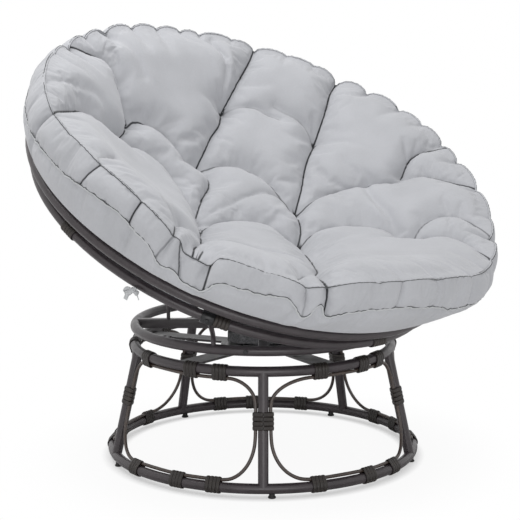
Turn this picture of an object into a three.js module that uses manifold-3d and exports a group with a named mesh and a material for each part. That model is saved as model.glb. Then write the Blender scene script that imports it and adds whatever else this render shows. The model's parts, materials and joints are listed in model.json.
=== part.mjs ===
import * as THREE from 'three';
import * as BufferGeometryUtils from 'three/addons/utils/BufferGeometryUtils.js';
import Module from 'manifold-3d';

// Papasan chair: a round tilted bowl with a tufted cushion, on a five-legged swivel base.
// Millimetres, +Z up, heights from the floor. The sitter faces -Y.
// The chair is drawn about its swivel axis, then moved so that the origin is under its middle.

const touchGap = 0.3;

// Base: two rings joined by five straight legs
const tubeRadius = 10.5;
const bottomRing = { radius: 330, height: 19 };
const topRing = { radius: 279, height: 245 };
const legCount = 5;
const bayAngle = 360 / legCount;
const firstLegAngle = -135;
const legInset = 3;
// The feet sit a little off the legs, by a different turn at each
const foot = { stemRadius: 6, padRadius: 8, padHeight: 4, bevel: 1, turns: [3, 3, 6, -1.5, 3] };

// Base: thin bent rods that fill the bays, and the straps and windings that tie them on
const rodRadius = 3.7;
const legGap = 1.2;
const rodSteps = 32;
const cornerSteps = 4;
const windingHeight = 149;
const straightHalf = 30;
const strap = { length: 30, ringRadius: 14, holeRadius: 12.4, rodRadius: 4.9, ringSteps: 5, rodSteps: 2 };
const lowerStraps = [19.5, 40.5, 54.5];
const upperStraps = [
  [24, 46, 57.5],
  [19, 43, 57],
  [19, 43, 57],
  [19, 43, 57],
  [14, 41, 54],
];
const winding = { turns: 4, steps: 10, pitch: 9.2, width: 8.4, thickness: 2.2, standOff: 2.2 };

// Swivel: flat arms carry a ball-bearing turntable
const arms = { top: 244, thickness: 5, hubRadius: 92, overlap: 8, hubWidth: 42, ringWidth: 45, place: 32.5 };
const plate = { side: 152, corner: 26, thickness: 3, flange: 19 };
const race = { inner: 40, outer: 58, lift: 10 };
const ballRing = { radius: 49, section: 2.4 };
const plateBolt = { place: 70, turns: [0, 90, 180, 270], shank: 3, hole: 3.4, headRadius: 6, headHeight: 3.5, tip: 5 };

// Seat frame: a ring on two crossed square tubes turns on the swivel
const seatRing = { radius: 278, height: 287 };
const crossTube = { width: 20, angles: [-45, 45] };
const ringTab = { angle: 170, width: 60, tipWidth: 16, reach: 42, thickness: 4, hole: 4.2, holeFromTip: 14 };
const ringBolt = { angle: -142, shank: 3, hole: 3.4, headRadius: 5.5, headHeight: 3 };

// Bowl: a rim, two hoops and eight ribs, tilted towards the sitter's feet
const bowlTilt = 30;
const bowlCentre = { y: 56, z: 562 };
const rim = { radius: 480, height: 0 };
const midHoop = { radius: 460, height: -38 };
const bottomHoop = { radius: 110, height: -187 };
const bottomHoopSection = 6;
const ribCount = 8;
const ribRadius = 4;
// A rib's centre line, as radius from the bowl's axis and height over the rim's plane
const ribProfile = [[480, 0], [435, -39], [380, -80], [300, -125], [200, -163], [146, -179], [110, -187]];
const strut = { radius: 5, ringAngle: -156, hoopAngle: 222, clampLength: 26, clampWall: 3.6 };
// Points on the way up a strut: share of the way to the hoop, and rise over the seat ring
const strutBends = [[0.06, 26], [0.42, 54]];
const post = { radius: 4, place: 146, top: 406 };

// Cushion: a boxed round pad that lines the bowl and stands out over its rim.
// Its rings of points have fewer sectors near the middle: at each share of the radius, the sectors outside it.
const cushion = {
  shares: [0.08, 0.16, 0.25, 0.34, 0.42, 0.5, 0.58, 0.66, 0.73, 0.8, 0.87, 0.94, 0.98],
  sectors: [[0, 13], [0.12, 26], [0.3, 52]],
  undersideSectors: 26,
  undersideGap: 9,
  overRim: [[476, 14], [492, 21]],
  lowerSeam: 531,
  bandHeight: 52,
  bandBulge: 13,
  upperSeam: 517,
  seatHeight: -72,
  dish: 2.1,
  slide: { x: 28, y: -9 },
};
// Angle round the bowl with 90 degrees up the back, height of the upper seam over the rim's plane, and seam radius
const seamPlaces = [
  [0, 149, 517], [20, 152, 517], [45, 136, 517], [70, 133, 517], [95, 137, 517], [120, 133, 517], [150, 140, 517],
  [180, 156, 517], [195, 150, 517], [206, 134, 517], [222, 133, 517], [234, 136, 517], [243, 148, 517],
  [254, 170, 517], [266, 174, 515], [278, 160, 513], [292, 140, 509], [315, 128, 507], [338, 136, 511],
];
// How far the padding swells over the sewn surface, and how it rolls down to the edge, the creases and the tufts
const padding = { swell: 43, edgeRoll: 115, fullness: 0.85, lean: 0.55, tuftDrop: 12, tuftWidth: 30, patch: 24 };
// Sewn tufts: radius, and angle round the bowl
const tufts = {
  backRight: [347, 60],
  backInner: [173, 86],
  leftInner: [122, 180],
  right: [357, 22],
  rightInner: [166, -8],
  frontInner: [158, -67],
  backLeft: [314, 114],
  leftUpper: [307, 132],
  rightFront: [421, -11],
  frontRight: [378, -47.5],
};
// Creases: the padding's roll beside each, how much of the swell it takes away, and its way between tufts and edge
const creases = [
  [75, 1, ['backRight', [425, 56], [517, 54]]],
  [70, 0.95, ['backRight', [258, 68], 'backInner']],
  [50, 0.85, ['backInner', [103, 93], 'leftInner']],
  [75, 1, ['right', [444, 26], [517, 29]]],
  [70, 0.95, ['right', [224, 8], 'rightInner']],
  [50, 0.5, ['backRight', [371, 30], 'right']],
  [55, 0.75, ['backInner', [176, 52], [169, 29], 'rightInner']],
  [40, 0.4, ['leftInner', [28, 151], [103, 20]]],
  [50, 0.9, ['rightInner', 'frontInner']],
  [65, 0.8, ['rightInner', [338, -9], [448, -15], [525, -25]]],
  [50, 0.85, ['rightFront', [535, -9]]],
  [65, 0.8, ['frontInner', [205, -39], [330, -41], 'frontRight', [464, -50], [520, -61]]],
  [50, 0.65, ['frontRight', [468, -38], [520, -46]]],
  [75, 0.9, ['frontInner', [300, -100], [500, -122]]],
  [65, 0.8, ['frontInner', [54, -68], [71, -159], [185, -158]]],
  [70, 1, ['backLeft', [445, 109], [517, 117]]],
  [50, 0.9, ['backLeft', 'leftUpper']],
  [70, 0.9, ['backLeft', [256, 99], 'backInner']],
  [70, 0.9, ['leftUpper', [153, 134], 'leftInner']],
  [70, 0.95, ['leftUpper', [391, 140], [490, 160]]],
  [60, 0.8, [[330, 203], [490, 205]]],
  [75, 0.9, ['leftInner', [245, 208], [500, 216]]],
];
// Where the creases draw the edge down: angle and depth
const gathers = [
  [55, 20], [30, 18], [12, 10], [-9, 14], [-26, 12], [-48, 22], [-61, 10], [-122, 36], [-144.5, 44], [-154, 24],
  [-163, 14], [-176, 12], [161, 20], [121, 22], [103, 14], [85, 12], [72, 12],
];
const gatherWidth = 3;
const tie = { hoopAngles: [203, -23, 60, 120], knotRadius: 6.5, outwards: 13.5, drop: 12.5 };
const tieTail = { length: 20, width: 8, thickness: 3, leans: [-1, 0.8] };

const finishes = {
  darkSteel: { color: 0x2b2523, roughness: 0.5, metalness: 0.3 },
  wicker: { color: 0x2f2725, roughness: 0.62, metalness: 0 },
  zinc: { color: 0xb4b6b8, roughness: 0.35, metalness: 0.9 },
  blackSteel: { color: 0x1b1a1b, roughness: 0.5, metalness: 0.4 },
  footPlastic: { color: 0x161516, roughness: 0.6, metalness: 0 },
  cloth: { color: 0xc3c7ca, roughness: 0.95, metalness: 0 },
};

const wasm = await Module();
wasm.setup();

const radians = THREE.MathUtils.degToRad;
const degrees = THREE.MathUtils.radToDeg;

const baseGroup = new THREE.Group();
const seatGroup = new THREE.Group();
const bowlGroup = new THREE.Group();
bowlGroup.position.set(0, bowlCentre.y, bowlCentre.z);
bowlGroup.rotation.x = radians(bowlTilt);
bowlGroup.updateMatrix();
seatGroup.add(bowlGroup);

function addPiece(group, name, geometry, finish) {
  const mesh = new THREE.Mesh(geometry, new THREE.MeshStandardMaterial(finishes[finish]));
  mesh.name = name;
  group.add(mesh);
}

function solid(geometry) {
  const bare = geometry.clone();
  bare.deleteAttribute('normal');
  bare.deleteAttribute('uv');
  const merged = BufferGeometryUtils.mergeVertices(bare, 1e-4);
  return new wasm.Manifold(new wasm.Mesh({
    numProp: 3,
    vertProperties: new Float32Array(merged.attributes.position.array),
    triVerts: new Uint32Array(merged.index.array),
  }));
}

function geometryOf(body) {
  const mesh = body.getMesh();
  const geometry = new THREE.BufferGeometry();
  geometry.setAttribute('position', new THREE.BufferAttribute(mesh.vertProperties, 3));
  geometry.setIndex(new THREE.BufferAttribute(mesh.triVerts, 1));
  return geometry;
}

function cut(geometry, ...cutters) {
  return geometryOf(cutters.reduce((body, cutter) => body.subtract(solid(cutter)), solid(geometry)));
}

function join(first, ...others) {
  return geometryOf(others.reduce((body, other) => body.add(solid(other)), solid(first)));
}

// A copy of a bowl piece's geometry, placed in the chair's frame
function outOfBowl(geometry) {
  return geometry.clone().applyMatrix4(bowlGroup.matrix);
}

function bowlPoint(radius, angle, height) {
  return polar(radius, angle, height).applyMatrix4(bowlGroup.matrix);
}

function polar(radius, angle, height) {
  const turn = radians(angle);
  return new THREE.Vector3(radius * Math.cos(turn), radius * Math.sin(turn), height);
}

function ringTube(ring, section, sides = 8, steps = 48) {
  const geometry = new THREE.TorusGeometry(ring.radius, section, sides, steps);
  geometry.translate(0, 0, ring.height);
  return geometry;
}

function circleShape(radius, sides) {
  const shape = new THREE.Shape();
  for (let i = 0; i < sides; i++) {
    const corner = polar(radius, (360 * i) / sides, 0);
    if (i === 0) shape.moveTo(corner.x, corner.y);
    else shape.lineTo(corner.x, corner.y);
  }
  return shape;
}

function rod(points, radius, sides, steps) {
  return new THREE.ExtrudeGeometry(circleShape(radius, sides), {
    extrudePath: new THREE.CatmullRomCurve3(points, false, 'centripetal'),
    steps,
    bevelEnabled: false,
  });
}

// A cylinder that starts at a point and runs along a direction
function cylinderAlong(start, direction, radius, length, sides = 10) {
  const geometry = new THREE.CylinderGeometry(radius, radius, length, sides);
  const along = direction.clone().normalize();
  const up = new THREE.Vector3(0, 1, 0);
  geometry.applyQuaternion(new THREE.Quaternion().setFromUnitVectors(up, along));
  const middle = start.clone().addScaledVector(along, length / 2);
  geometry.translate(middle.x, middle.y, middle.z);
  return geometry;
}

// A flat plate with its outline in X and Y and round or outlined holes
function flatPlate(outline, bottom, thickness, holes = []) {
  const shape = new THREE.Shape(outline);
  shape.holes = holes;
  const geometry = new THREE.ExtrudeGeometry(shape, {
    depth: thickness,
    steps: 1,
    curveSegments: 5,
    bevelEnabled: false,
  });
  geometry.translate(0, 0, bottom);
  return geometry;
}

function roundHole(x, y, radius) {
  const hole = new THREE.Path();
  hole.absarc(x, y, radius, 0, 2 * Math.PI, true);
  return hole;
}

// A capped tube through sections that each hold the same number of points
function sectionTube(sections) {
  const sides = sections[0].length;
  const last = (sections.length - 1) * sides;
  const indices = [];
  for (let i = 0; i < last; i += sides) {
    for (let j = 0; j < sides; j++) {
      const a = i + j;
      const b = i + ((j + 1) % sides);
      indices.push(a, b, b + sides, a, b + sides, a + sides);
    }
  }
  for (let j = 1; j + 1 < sides; j++) {
    indices.push(0, j + 1, j);
    indices.push(last, last + j, last + j + 1);
  }
  const geometry = new THREE.BufferGeometry().setFromPoints(sections.flat());
  geometry.setIndex(indices);
  return geometry;
}

const legAngle = (index) => firstLegAngle + bayAngle * index;

// Radius of the cone on which the legs and the bent rods lie
function coneRadius(height) {
  const share = (height - bottomRing.height) / (topRing.height - bottomRing.height);
  return bottomRing.radius + share * (topRing.radius - bottomRing.radius);
}

const conePoint = (angle, height) => polar(coneRadius(height), angle, height);

const clearOfRings = [
  ringTube(bottomRing, tubeRadius + touchGap),
  ringTube(topRing, tubeRadius + touchGap),
];

function buildLeg(index) {
  const ends = [bottomRing.height + legInset, topRing.height - legInset];
  const tube = rod(ends.map((height) => conePoint(legAngle(index), height)), tubeRadius, 8, 1);
  addPiece(baseGroup, `base_leg_${index + 1}`, cut(tube, ...clearOfRings), 'darkSteel');
}

function buildFoot(index) {
  const outline = [
    [0, 0],
    [foot.padRadius - foot.bevel, 0],
    [foot.padRadius, foot.bevel],
    [foot.padRadius, foot.padHeight - foot.bevel],
    [foot.stemRadius, foot.padHeight],
    [foot.stemRadius, bottomRing.height],
    [0, bottomRing.height],
  ];
  const geometry = new THREE.LatheGeometry(outline.map(([x, y]) => new THREE.Vector2(x, y)), 8);
  geometry.rotateX(Math.PI / 2);
  const place = polar(bottomRing.radius, legAngle(index) + foot.turns[index], 0);
  geometry.translate(place.x, place.y, 0);
  addPiece(baseGroup, `base_foot_${index + 1}`, cut(geometry, clearOfRings[0]), 'footPlastic');
}

const rodLow = bottomRing.height + tubeRadius + rodRadius + touchGap;
const rodHigh = topRing.height - tubeRadius - rodRadius - touchGap;
const rodOffset = tubeRadius + rodRadius + legGap;

// Quarter of an ellipse from beside the leg to a ring, as angles and heights
function rodCorner(sideAngle, ringAngle, ringHeight) {
  const start = windingHeight + Math.sign(ringHeight - windingHeight) * straightHalf;
  return Array.from({ length: cornerSteps + 1 }, (_, i) => {
    const turn = (Math.PI / 2) * (i / cornerSteps);
    const angle = sideAngle + (ringAngle - sideAngle) * (1 - Math.cos(turn));
    return [angle, start + (ringHeight - start) * Math.sin(turn)];
  });
}

// The rod's course round its bay, from the middle lower strap back to it
function rodCourse(bay) {
  const near = degrees(Math.asin(rodOffset / coneRadius(windingHeight)));
  const far = bayAngle - near;
  const halfStrap = degrees(strap.length / 2 / topRing.radius);
  const [lowFirst, lowMiddle, lowLast] = lowerStraps;
  const [highFirst, highMiddle, highLast] = upperStraps[bay];
  const course = [
    [lowMiddle, rodLow],
    [lowLast, rodLow],
    ...rodCorner(far, lowLast + halfStrap, rodLow).reverse(),
    [far, windingHeight],
    ...rodCorner(far, highLast + halfStrap, rodHigh),
    [highLast, rodHigh],
    [highMiddle, rodHigh],
    [highFirst, rodHigh],
    ...rodCorner(near, highFirst - halfStrap, rodHigh).reverse(),
    [near, windingHeight],
    ...rodCorner(near, lowFirst - halfStrap, rodLow),
    [lowFirst, rodLow],
    [lowMiddle - touchGap, rodLow],
  ];
  return course.map(([angle, height]) => conePoint(legAngle(bay) + angle, height));
}

// Outline of a taut strap round two circles, the second on the X axis
function strapOutline(firstRadius, secondRadius, span) {
  const contact = Math.acos((firstRadius - secondRadius) / span);
  const outline = [];
  for (let i = 0; i <= strap.ringSteps; i++) {
    const turn = contact + ((2 * Math.PI - 2 * contact) * i) / strap.ringSteps;
    outline.push(new THREE.Vector2(firstRadius * Math.cos(turn), firstRadius * Math.sin(turn)));
  }
  for (let i = 0; i <= strap.rodSteps; i++) {
    const turn = -contact + (2 * contact * i) / strap.rodSteps;
    outline.push(new THREE.Vector2(span + secondRadius * Math.cos(turn), secondRadius * Math.sin(turn)));
  }
  return outline;
}

// The strap that ties a bent rod to a ring, with room for the ring's curve in its hole
function buildStrap(ring, rodHeight, angle) {
  const middle = polar(ring.radius, angle, ring.height);
  const toRod = conePoint(angle, rodHeight).sub(middle);
  const outline = strapOutline(strap.ringRadius, strap.rodRadius, toRod.length());
  toRod.normalize();
  const along = polar(1, angle + 90, 0);
  const side = new THREE.Vector3().crossVectors(along, toRod);
  const hole = new THREE.Path(circleShape(strap.holeRadius, 8).getPoints());
  const geometry = flatPlate(outline, -strap.length / 2, strap.length, [hole]);
  const place = new THREE.Matrix4().makeBasis(toRod, side, along).setPosition(middle);
  return geometry.applyMatrix4(place);
}

function buildRodLoop(bay) {
  const straps = [
    ...lowerStraps.map((angle) => buildStrap(bottomRing, rodLow, legAngle(bay) + angle)),
    ...upperStraps[bay].map((angle) => buildStrap(topRing, rodHigh, legAngle(bay) + angle)),
  ];
  const tied = join(rod(rodCourse(bay), rodRadius, 5, rodSteps), ...straps);
  addPiece(baseGroup, `base_rod_loop_${bay + 1}`, tied, 'darkSteel');
}

// One strand wound round a leg and the two rods beside it
function windingSections(index) {
  const angle = legAngle(index);
  const middle = conePoint(angle, windingHeight);
  const upLeg = conePoint(angle, topRing.height).sub(conePoint(angle, bottomRing.height)).normalize();
  const sideways = polar(1, angle + 90, 0);
  const outwards = new THREE.Vector3().crossVectors(sideways, upLeg);
  const inset = winding.standOff + winding.thickness / 2;
  const halfWidth = rodOffset + rodRadius + inset;
  const halfDepth = tubeRadius + inset;
  const profile = [
    [-winding.width / 2, -winding.thickness / 2],
    [winding.width / 2, -winding.thickness / 2],
    [winding.width / 2, winding.thickness / 4],
    [0, winding.thickness / 2],
    [-winding.width / 2, winding.thickness / 4],
  ];
  const sections = [];
  for (let i = 0; i <= winding.turns * winding.steps; i++) {
    const turns = i / winding.steps;
    const turn = 2 * Math.PI * turns;
    const rise = winding.pitch * (turns - winding.turns / 2);
    const out = new THREE.Vector3()
      .addScaledVector(outwards, -Math.cos(turn) / halfDepth)
      .addScaledVector(sideways, -Math.sin(turn) / halfWidth)
      .normalize();
    const centre = middle.clone()
      .addScaledVector(outwards, -Math.cos(turn) * halfDepth)
      .addScaledVector(sideways, -Math.sin(turn) * halfWidth)
      .addScaledVector(upLeg, rise);
    sections.push(profile.map(([x, y]) => centre.clone().addScaledVector(upLeg, x).addScaledVector(out, y)));
  }
  return sections;
}

// Least distance between points of the strand that lie a turn apart
function leastWindingGap(sections) {
  let least = Infinity;
  for (let i = 0; i + winding.steps < sections.length; i++) {
    for (const a of sections[i]) {
      for (const b of sections[i + winding.steps]) least = Math.min(least, a.distanceTo(b));
    }
  }
  return least;
}

function buildWinding(index) {
  const sections = windingSections(index);
  if (index === 0) console.log(`least gap in a leg winding: ${leastWindingGap(sections).toFixed(2)} mm`);
  addPiece(baseGroup, `base_leg_winding_${index + 1}`, sectionTube(sections), 'wicker');
}

// A square outline with its corners cut off, turned to line up with the crossed tubes
function plateOutline(inset = 0) {
  const half = plate.side / 2 - inset;
  const short = half - plate.corner + inset / 2;
  const corners = [[half, short], [short, half], [-short, half], [-half, short],
    [-half, -short], [-short, -half], [short, -half], [half, -short]];
  const centre = new THREE.Vector2();
  return corners.map(([x, y]) => new THREE.Vector2(x, y).rotateAround(centre, radians(crossTube.angles[1])));
}

const boltPlaces = plateBolt.turns.map((turn) => polar(plateBolt.place, turn, 0));

function boltHoles() {
  return boltPlaces.map((place) => roundHole(place.x, place.y, plateBolt.hole));
}

function buildArms() {
  const bottom = arms.top - arms.thickness;
  const hub = flatPlate(circleShape(arms.hubRadius, 24).getPoints(), bottom, arms.thickness, boltHoles());
  const blades = Array.from({ length: legCount }, (_, i) => {
    const outline = [
      [arms.hubRadius - arms.overlap, -arms.hubWidth / 2],
      [topRing.radius, -arms.ringWidth / 2],
      [topRing.radius, arms.ringWidth / 2],
      [arms.hubRadius - arms.overlap, arms.hubWidth / 2],
    ].map(([x, y]) => new THREE.Vector2(x, y));
    const blade = flatPlate(outline, bottom, arms.thickness);
    blade.rotateZ(radians(legAngle(i) + arms.place));
    return blade;
  });
  addPiece(baseGroup, 'base_swivel_arms', cut(join(hub, ...blades), clearOfRings[1]), 'darkSteel');
}

function raceRing(bottom, top) {
  const { inner, outer } = race;
  const outline = [[inner, bottom], [outer, bottom], [outer, top], [inner, top], [inner, bottom]];
  const geometry = new THREE.LatheGeometry(outline.map(([x, y]) => new THREE.Vector2(x, y)), 24);
  geometry.rotateX(Math.PI / 2);
  return geometry;
}

const lowerPlateBottom = arms.top + touchGap;
const upperPlateTop = seatRing.height - crossTube.width / 2 - touchGap;
const lowerRaceTop = lowerPlateBottom + plate.thickness + race.lift;
const upperRaceBottom = upperPlateTop - plate.thickness - race.lift;

function buildTurntable() {
  const lowerPlate = flatPlate(plateOutline(), lowerPlateBottom, plate.thickness, boltHoles());
  const lowerRace = raceRing(lowerPlateBottom + plate.thickness / 2, lowerRaceTop);
  addPiece(baseGroup, 'swivel_lower_plate', join(lowerPlate, lowerRace), 'zinc');

  const ballCentres = { radius: ballRing.radius, height: (lowerRaceTop + upperRaceBottom) / 2 };
  const balls = ringTube(ballCentres, ballRing.section, 5, 24);
  const groove = ringTube(ballCentres, ballRing.section + touchGap, 5, 24);
  addPiece(baseGroup, 'swivel_ball_ring', balls, 'zinc');

  const sheet = flatPlate(plateOutline(), upperPlateTop - plate.thickness, plate.thickness);
  const skirt = flatPlate(plateOutline(), upperPlateTop - plate.flange, plate.flange - plate.thickness / 2,
    [new THREE.Path(plateOutline(plate.thickness))]);
  const upperRace = raceRing(upperRaceBottom, upperPlateTop - plate.thickness / 2);
  addPiece(seatGroup, 'swivel_upper_plate', cut(join(sheet, skirt, upperRace), groove), 'zinc');
}

function buildPlateBolts() {
  const down = new THREE.Vector3(0, 0, -1);
  boltPlaces.forEach((place, i) => {
    const seat = lowerPlateBottom + plate.thickness + touchGap;
    const top = seat + plateBolt.headHeight;
    const tip = arms.top - arms.thickness - plateBolt.tip;
    const head = cylinderAlong(place.clone().setZ(top), down, plateBolt.headRadius, plateBolt.headHeight, 6);
    const shank = cylinderAlong(place.clone().setZ(top), down, plateBolt.shank, top - tip, 8);
    addPiece(baseGroup, `swivel_bolt_${i + 1}`, join(head, shank), 'blackSteel');
  });
}

const clearOfSeatRing = ringTube(seatRing, tubeRadius + touchGap);

function buildSeatFrame() {
  const bars = crossTube.angles.map((angle) => {
    const bar = new THREE.BoxGeometry(2 * seatRing.radius, crossTube.width, crossTube.width);
    bar.rotateZ(radians(angle));
    bar.translate(0, 0, seatRing.height);
    return bar;
  });
  addPiece(seatGroup, 'seat_cross_tubes', cut(join(...bars), clearOfSeatRing), 'darkSteel');
}

// A flat ear welded inside the seat ring, drilled for a bolt
function buildRingTab(angle) {
  const tip = seatRing.radius - ringTab.reach;
  const outline = [
    [seatRing.radius, -ringTab.width / 2],
    [seatRing.radius, ringTab.width / 2],
    [tip, ringTab.tipWidth / 2],
    [tip, -ringTab.tipWidth / 2],
  ].map(([x, y]) => new THREE.Vector2(x, y));
  const hole = roundHole(tip + ringTab.holeFromTip, 0, ringTab.hole);
  const tab = flatPlate(outline, seatRing.height - ringTab.thickness / 2, ringTab.thickness, [hole]);
  tab.rotateZ(radians(angle));
  return tab;
}

const mirrored = (angle) => 180 - angle;

function buildSeatRing() {
  const tabs = [ringTab.angle, mirrored(ringTab.angle)].map(buildRingTab);
  const boltAngles = { left: ringBolt.angle, right: mirrored(ringBolt.angle) };
  const depth = 2 * tubeRadius;
  const holes = Object.values(boltAngles).map((angle) => cylinderAlong(
    polar(seatRing.radius - depth, angle, seatRing.height), polar(1, angle, 0), ringBolt.hole, 2 * depth, 8));
  addPiece(seatGroup, 'seat_ring', cut(join(ringTube(seatRing, tubeRadius), ...tabs), ...holes), 'darkSteel');

  for (const [side, angle] of Object.entries(boltAngles)) {
    const outwards = polar(1, angle, 0);
    const face = seatRing.radius + tubeRadius + touchGap;
    const head = cylinderAlong(polar(face, angle, seatRing.height), outwards, ringBolt.headRadius,
      ringBolt.headHeight, 8);
    const shank = cylinderAlong(polar(face - depth - 2, angle, seatRing.height), outwards, ringBolt.shank,
      depth + 3, 8);
    addPiece(seatGroup, `seat_ring_bolt_${side}`, join(head, shank), 'blackSteel');
  }
}

function buildHoops() {
  addPiece(bowlGroup, 'bowl_rim', ringTube(rim, tubeRadius), 'darkSteel');
  addPiece(bowlGroup, 'bowl_middle_hoop', ringTube(midHoop, tubeRadius), 'darkSteel');
  addPiece(bowlGroup, 'bowl_bottom_hoop', ringTube(bottomHoop, bottomHoopSection, 6, 28), 'darkSteel');
}

function ribTube(index, radius) {
  const angle = (360 / ribCount) * index;
  return rod(ribProfile.map(([r, height]) => polar(r, angle, height)), radius, 5, 9);
}

function buildRibs() {
  const clearOfRim = ringTube(rim, tubeRadius + touchGap);
  const clearOfBottomHoop = ringTube(bottomHoop, bottomHoopSection + touchGap, 6, 28);
  for (let i = 0; i < ribCount; i++) {
    const rib = cut(ribTube(i, ribRadius), clearOfRim, clearOfBottomHoop);
    addPiece(bowlGroup, `bowl_rib_${i + 1}`, rib, 'darkSteel');
  }
}

// A clamp on the middle hoop, and the bent strut that stands it on the seat ring
function buildStrut(side, ringAngle, hoopAngle) {
  const hoopMiddle = polar(midHoop.radius, hoopAngle, midHoop.height);
  const along = polar(1, hoopAngle + 90, 0);
  const clampStart = hoopMiddle.clone().addScaledVector(along, -strut.clampLength / 2);
  const clampBody = (wall) => cylinderAlong(clampStart, along, tubeRadius + wall, strut.clampLength, 12);
  const clearOfHoop = ringTube(midHoop, tubeRadius + touchGap);
  addPiece(bowlGroup, `strut_clamp_${side}`, cut(clampBody(strut.clampWall), clearOfHoop), 'blackSteel');

  const start = polar(seatRing.radius, ringAngle, seatRing.height);
  const head = bowlPoint(midHoop.radius, hoopAngle, midHoop.height);
  const bends = strutBends.map(([share, rise]) => start.clone().lerp(head, share).setZ(start.z + rise));
  const course = [start, ...bends, head];
  const clearOfClamp = outOfBowl(clampBody(strut.clampWall + touchGap));
  const geometry = cut(rod(course, strut.radius, 8, 10), clearOfSeatRing, clearOfClamp);
  addPiece(seatGroup, `bowl_strut_${side}`, geometry, 'blackSteel');
}

// An upright rod from a cross tube to the rib above it
function buildPost(side, direction, ribIndex) {
  const bottom = seatRing.height + crossTube.width / 2 + touchGap;
  const start = new THREE.Vector3(direction * post.place, post.place, bottom);
  const upright = cylinderAlong(start, new THREE.Vector3(0, 0, 1), post.radius, post.top - bottom, 8);
  const clearOfRib = outOfBowl(ribTube(ribIndex, ribRadius + touchGap));
  addPiece(seatGroup, `bowl_post_${side}`, cut(upright, clearOfRib), 'blackSteel');
}

function flatPlace([radius, angle]) {
  return new THREE.Vector2(radius * Math.cos(radians(angle)), radius * Math.sin(radians(angle)));
}

const creaseLines = creases.map(([roll, depth, stops]) => {
  return { roll, depth, course: stops.map((stop) => flatPlace(tufts[stop] ?? stop)) };
});

function distanceToSegment(place, start, end) {
  const span = end.clone().sub(start);
  const share = THREE.MathUtils.clamp(place.clone().sub(start).dot(span) / span.lengthSq(), 0, 1);
  return place.distanceTo(start.clone().addScaledVector(span, share));
}

function distanceToCourse(place, course) {
  return Math.min(...course.slice(1).map((end, i) => distanceToSegment(place, course[i], end)));
}

// A quarter circle's rise, from nothing at a crease to the full swell
function rolledUp(distance, roll) {
  return Math.sqrt(1 - (1 - Math.min(distance / roll, 1)) ** 2);
}

// Share of the full swell at a place, and the tufts' pits beside it
function swellAt(place, fromEdge) {
  const edge = Math.sin((Math.PI / 2) * Math.min(fromEdge / padding.edgeRoll, 1)) ** padding.fullness;
  const creased = creaseLines.reduce((swell, { roll, depth, course }) => {
    return swell * (1 - depth * (1 - rolledUp(distanceToCourse(place, course), roll)));
  }, edge);
  const pits = Object.values(tufts).map((tuft) => {
    return padding.tuftDrop * Math.exp(-place.distanceTo(flatPlace(tuft)) / padding.tuftWidth);
  });
  return padding.swell * creased - Math.max(...pits);
}

// The faces are larger than the creases, so a point takes the mean swell of the patch round it
function meanSwell(place, fromEdge) {
  const steps = [-1, -0.5, 0, 0.5, 1];
  const near = steps.flatMap((x) => steps.map((y) => {
    return swellAt(new THREE.Vector2(place.x + x * padding.patch, place.y + y * padding.patch), fromEdge);
  }));
  return near.reduce((sum, swell) => sum + swell, 0) / near.length;
}

function seamPlace(angle) {
  const turn = THREE.MathUtils.euclideanModulo(angle, 360);
  const next = seamPlaces.findIndex((place) => place[0] > turn);
  const [from, to] = [seamPlaces.at(next - 1), next < 0 ? [360, ...seamPlaces[0].slice(1)] : seamPlaces[next]];
  const share = (turn - from[0]) / (to[0] - from[0]);
  return { height: THREE.MathUtils.lerp(from[1], to[1], share), radius: THREE.MathUtils.lerp(from[2], to[2], share) };
}

// How far the edge is drawn down at an angle
function drawnDown(angle) {
  return gathers.reduce((sum, [at, depth]) => {
    const turn = Math.abs(THREE.MathUtils.euclideanModulo(angle - at + 180, 360) - 180);
    return sum + depth * Math.exp(-turn / gatherWidth);
  }, 0);
}

// The underside follows the inner side of the ribs
function undersideRows() {
  const rows = [];
  for (let i = ribProfile.length - 1; i > 0; i--) {
    const [r, height] = ribProfile[i];
    const [outerR, outerHeight] = ribProfile[i - 1];
    const slope = Math.atan2(outerHeight - height, outerR - r);
    rows.push([r - Math.sin(slope) * cushion.undersideGap, height + Math.cos(slope) * cushion.undersideGap]);
  }
  return rows.slice(1).reverse();
}

// A point at a radius and height, moved with the pad, which lies a little off the bowl's middle at its edge
function padPoint(radius, angle, height, slid) {
  const place = flatPlace([radius, angle]).addScaledVector(cushion.slide, slid);
  return new THREE.Vector3(place.x, place.y, height);
}

// The top swells between upright and square to the sewn surface
function topPoint(share, angle) {
  const seam = seamPlace(angle);
  const drawn = drawnDown(angle);
  const radius = seam.radius - 0.45 * drawn;
  const rise = seam.height - drawn - cushion.seatHeight;
  const slope = (cushion.dish * rise * share ** (cushion.dish - 1)) / cushion.upperSeam;
  const place = padPoint(share * radius, angle, cushion.seatHeight + rise * share ** cushion.dish, share ** 3);
  const fromEdge = (1 - share) * radius * Math.hypot(1, slope);
  const swell = meanSwell(place, fromEdge);
  const lean = (padding.lean * slope) / Math.hypot(1, slope);
  const inwards = flatPlace([swell * lean, angle]);
  return place.sub(new THREE.Vector3(inwards.x, inwards.y, -swell * Math.sqrt(1 - lean ** 2)));
}

function edgePoints(angle) {
  const seam = seamPlace(angle);
  const drawn = drawnDown(angle);
  const low = seam.height - cushion.bandHeight - 1.25 * drawn;
  const inset = cushion.upperSeam - seam.radius;
  const upperRadius = seam.radius - 0.45 * drawn;
  const lowerRadius = cushion.lowerSeam - inset - 0.35 * drawn;
  const bandRadius = (upperRadius + lowerRadius) / 2 + cushion.bandBulge - 0.3 * drawn;
  const [inner, outer] = cushion.overRim;
  return [
    padPoint(upperRadius, angle, seam.height - drawn, 1),
    padPoint(bandRadius, angle, (seam.height - drawn + low) / 2, 0.9),
    padPoint(lowerRadius, angle, low, 0.8),
    padPoint(outer[0], angle, outer[1], 0.2),
    padPoint(inner[0], angle, inner[1], 0),
  ];
}

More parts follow.
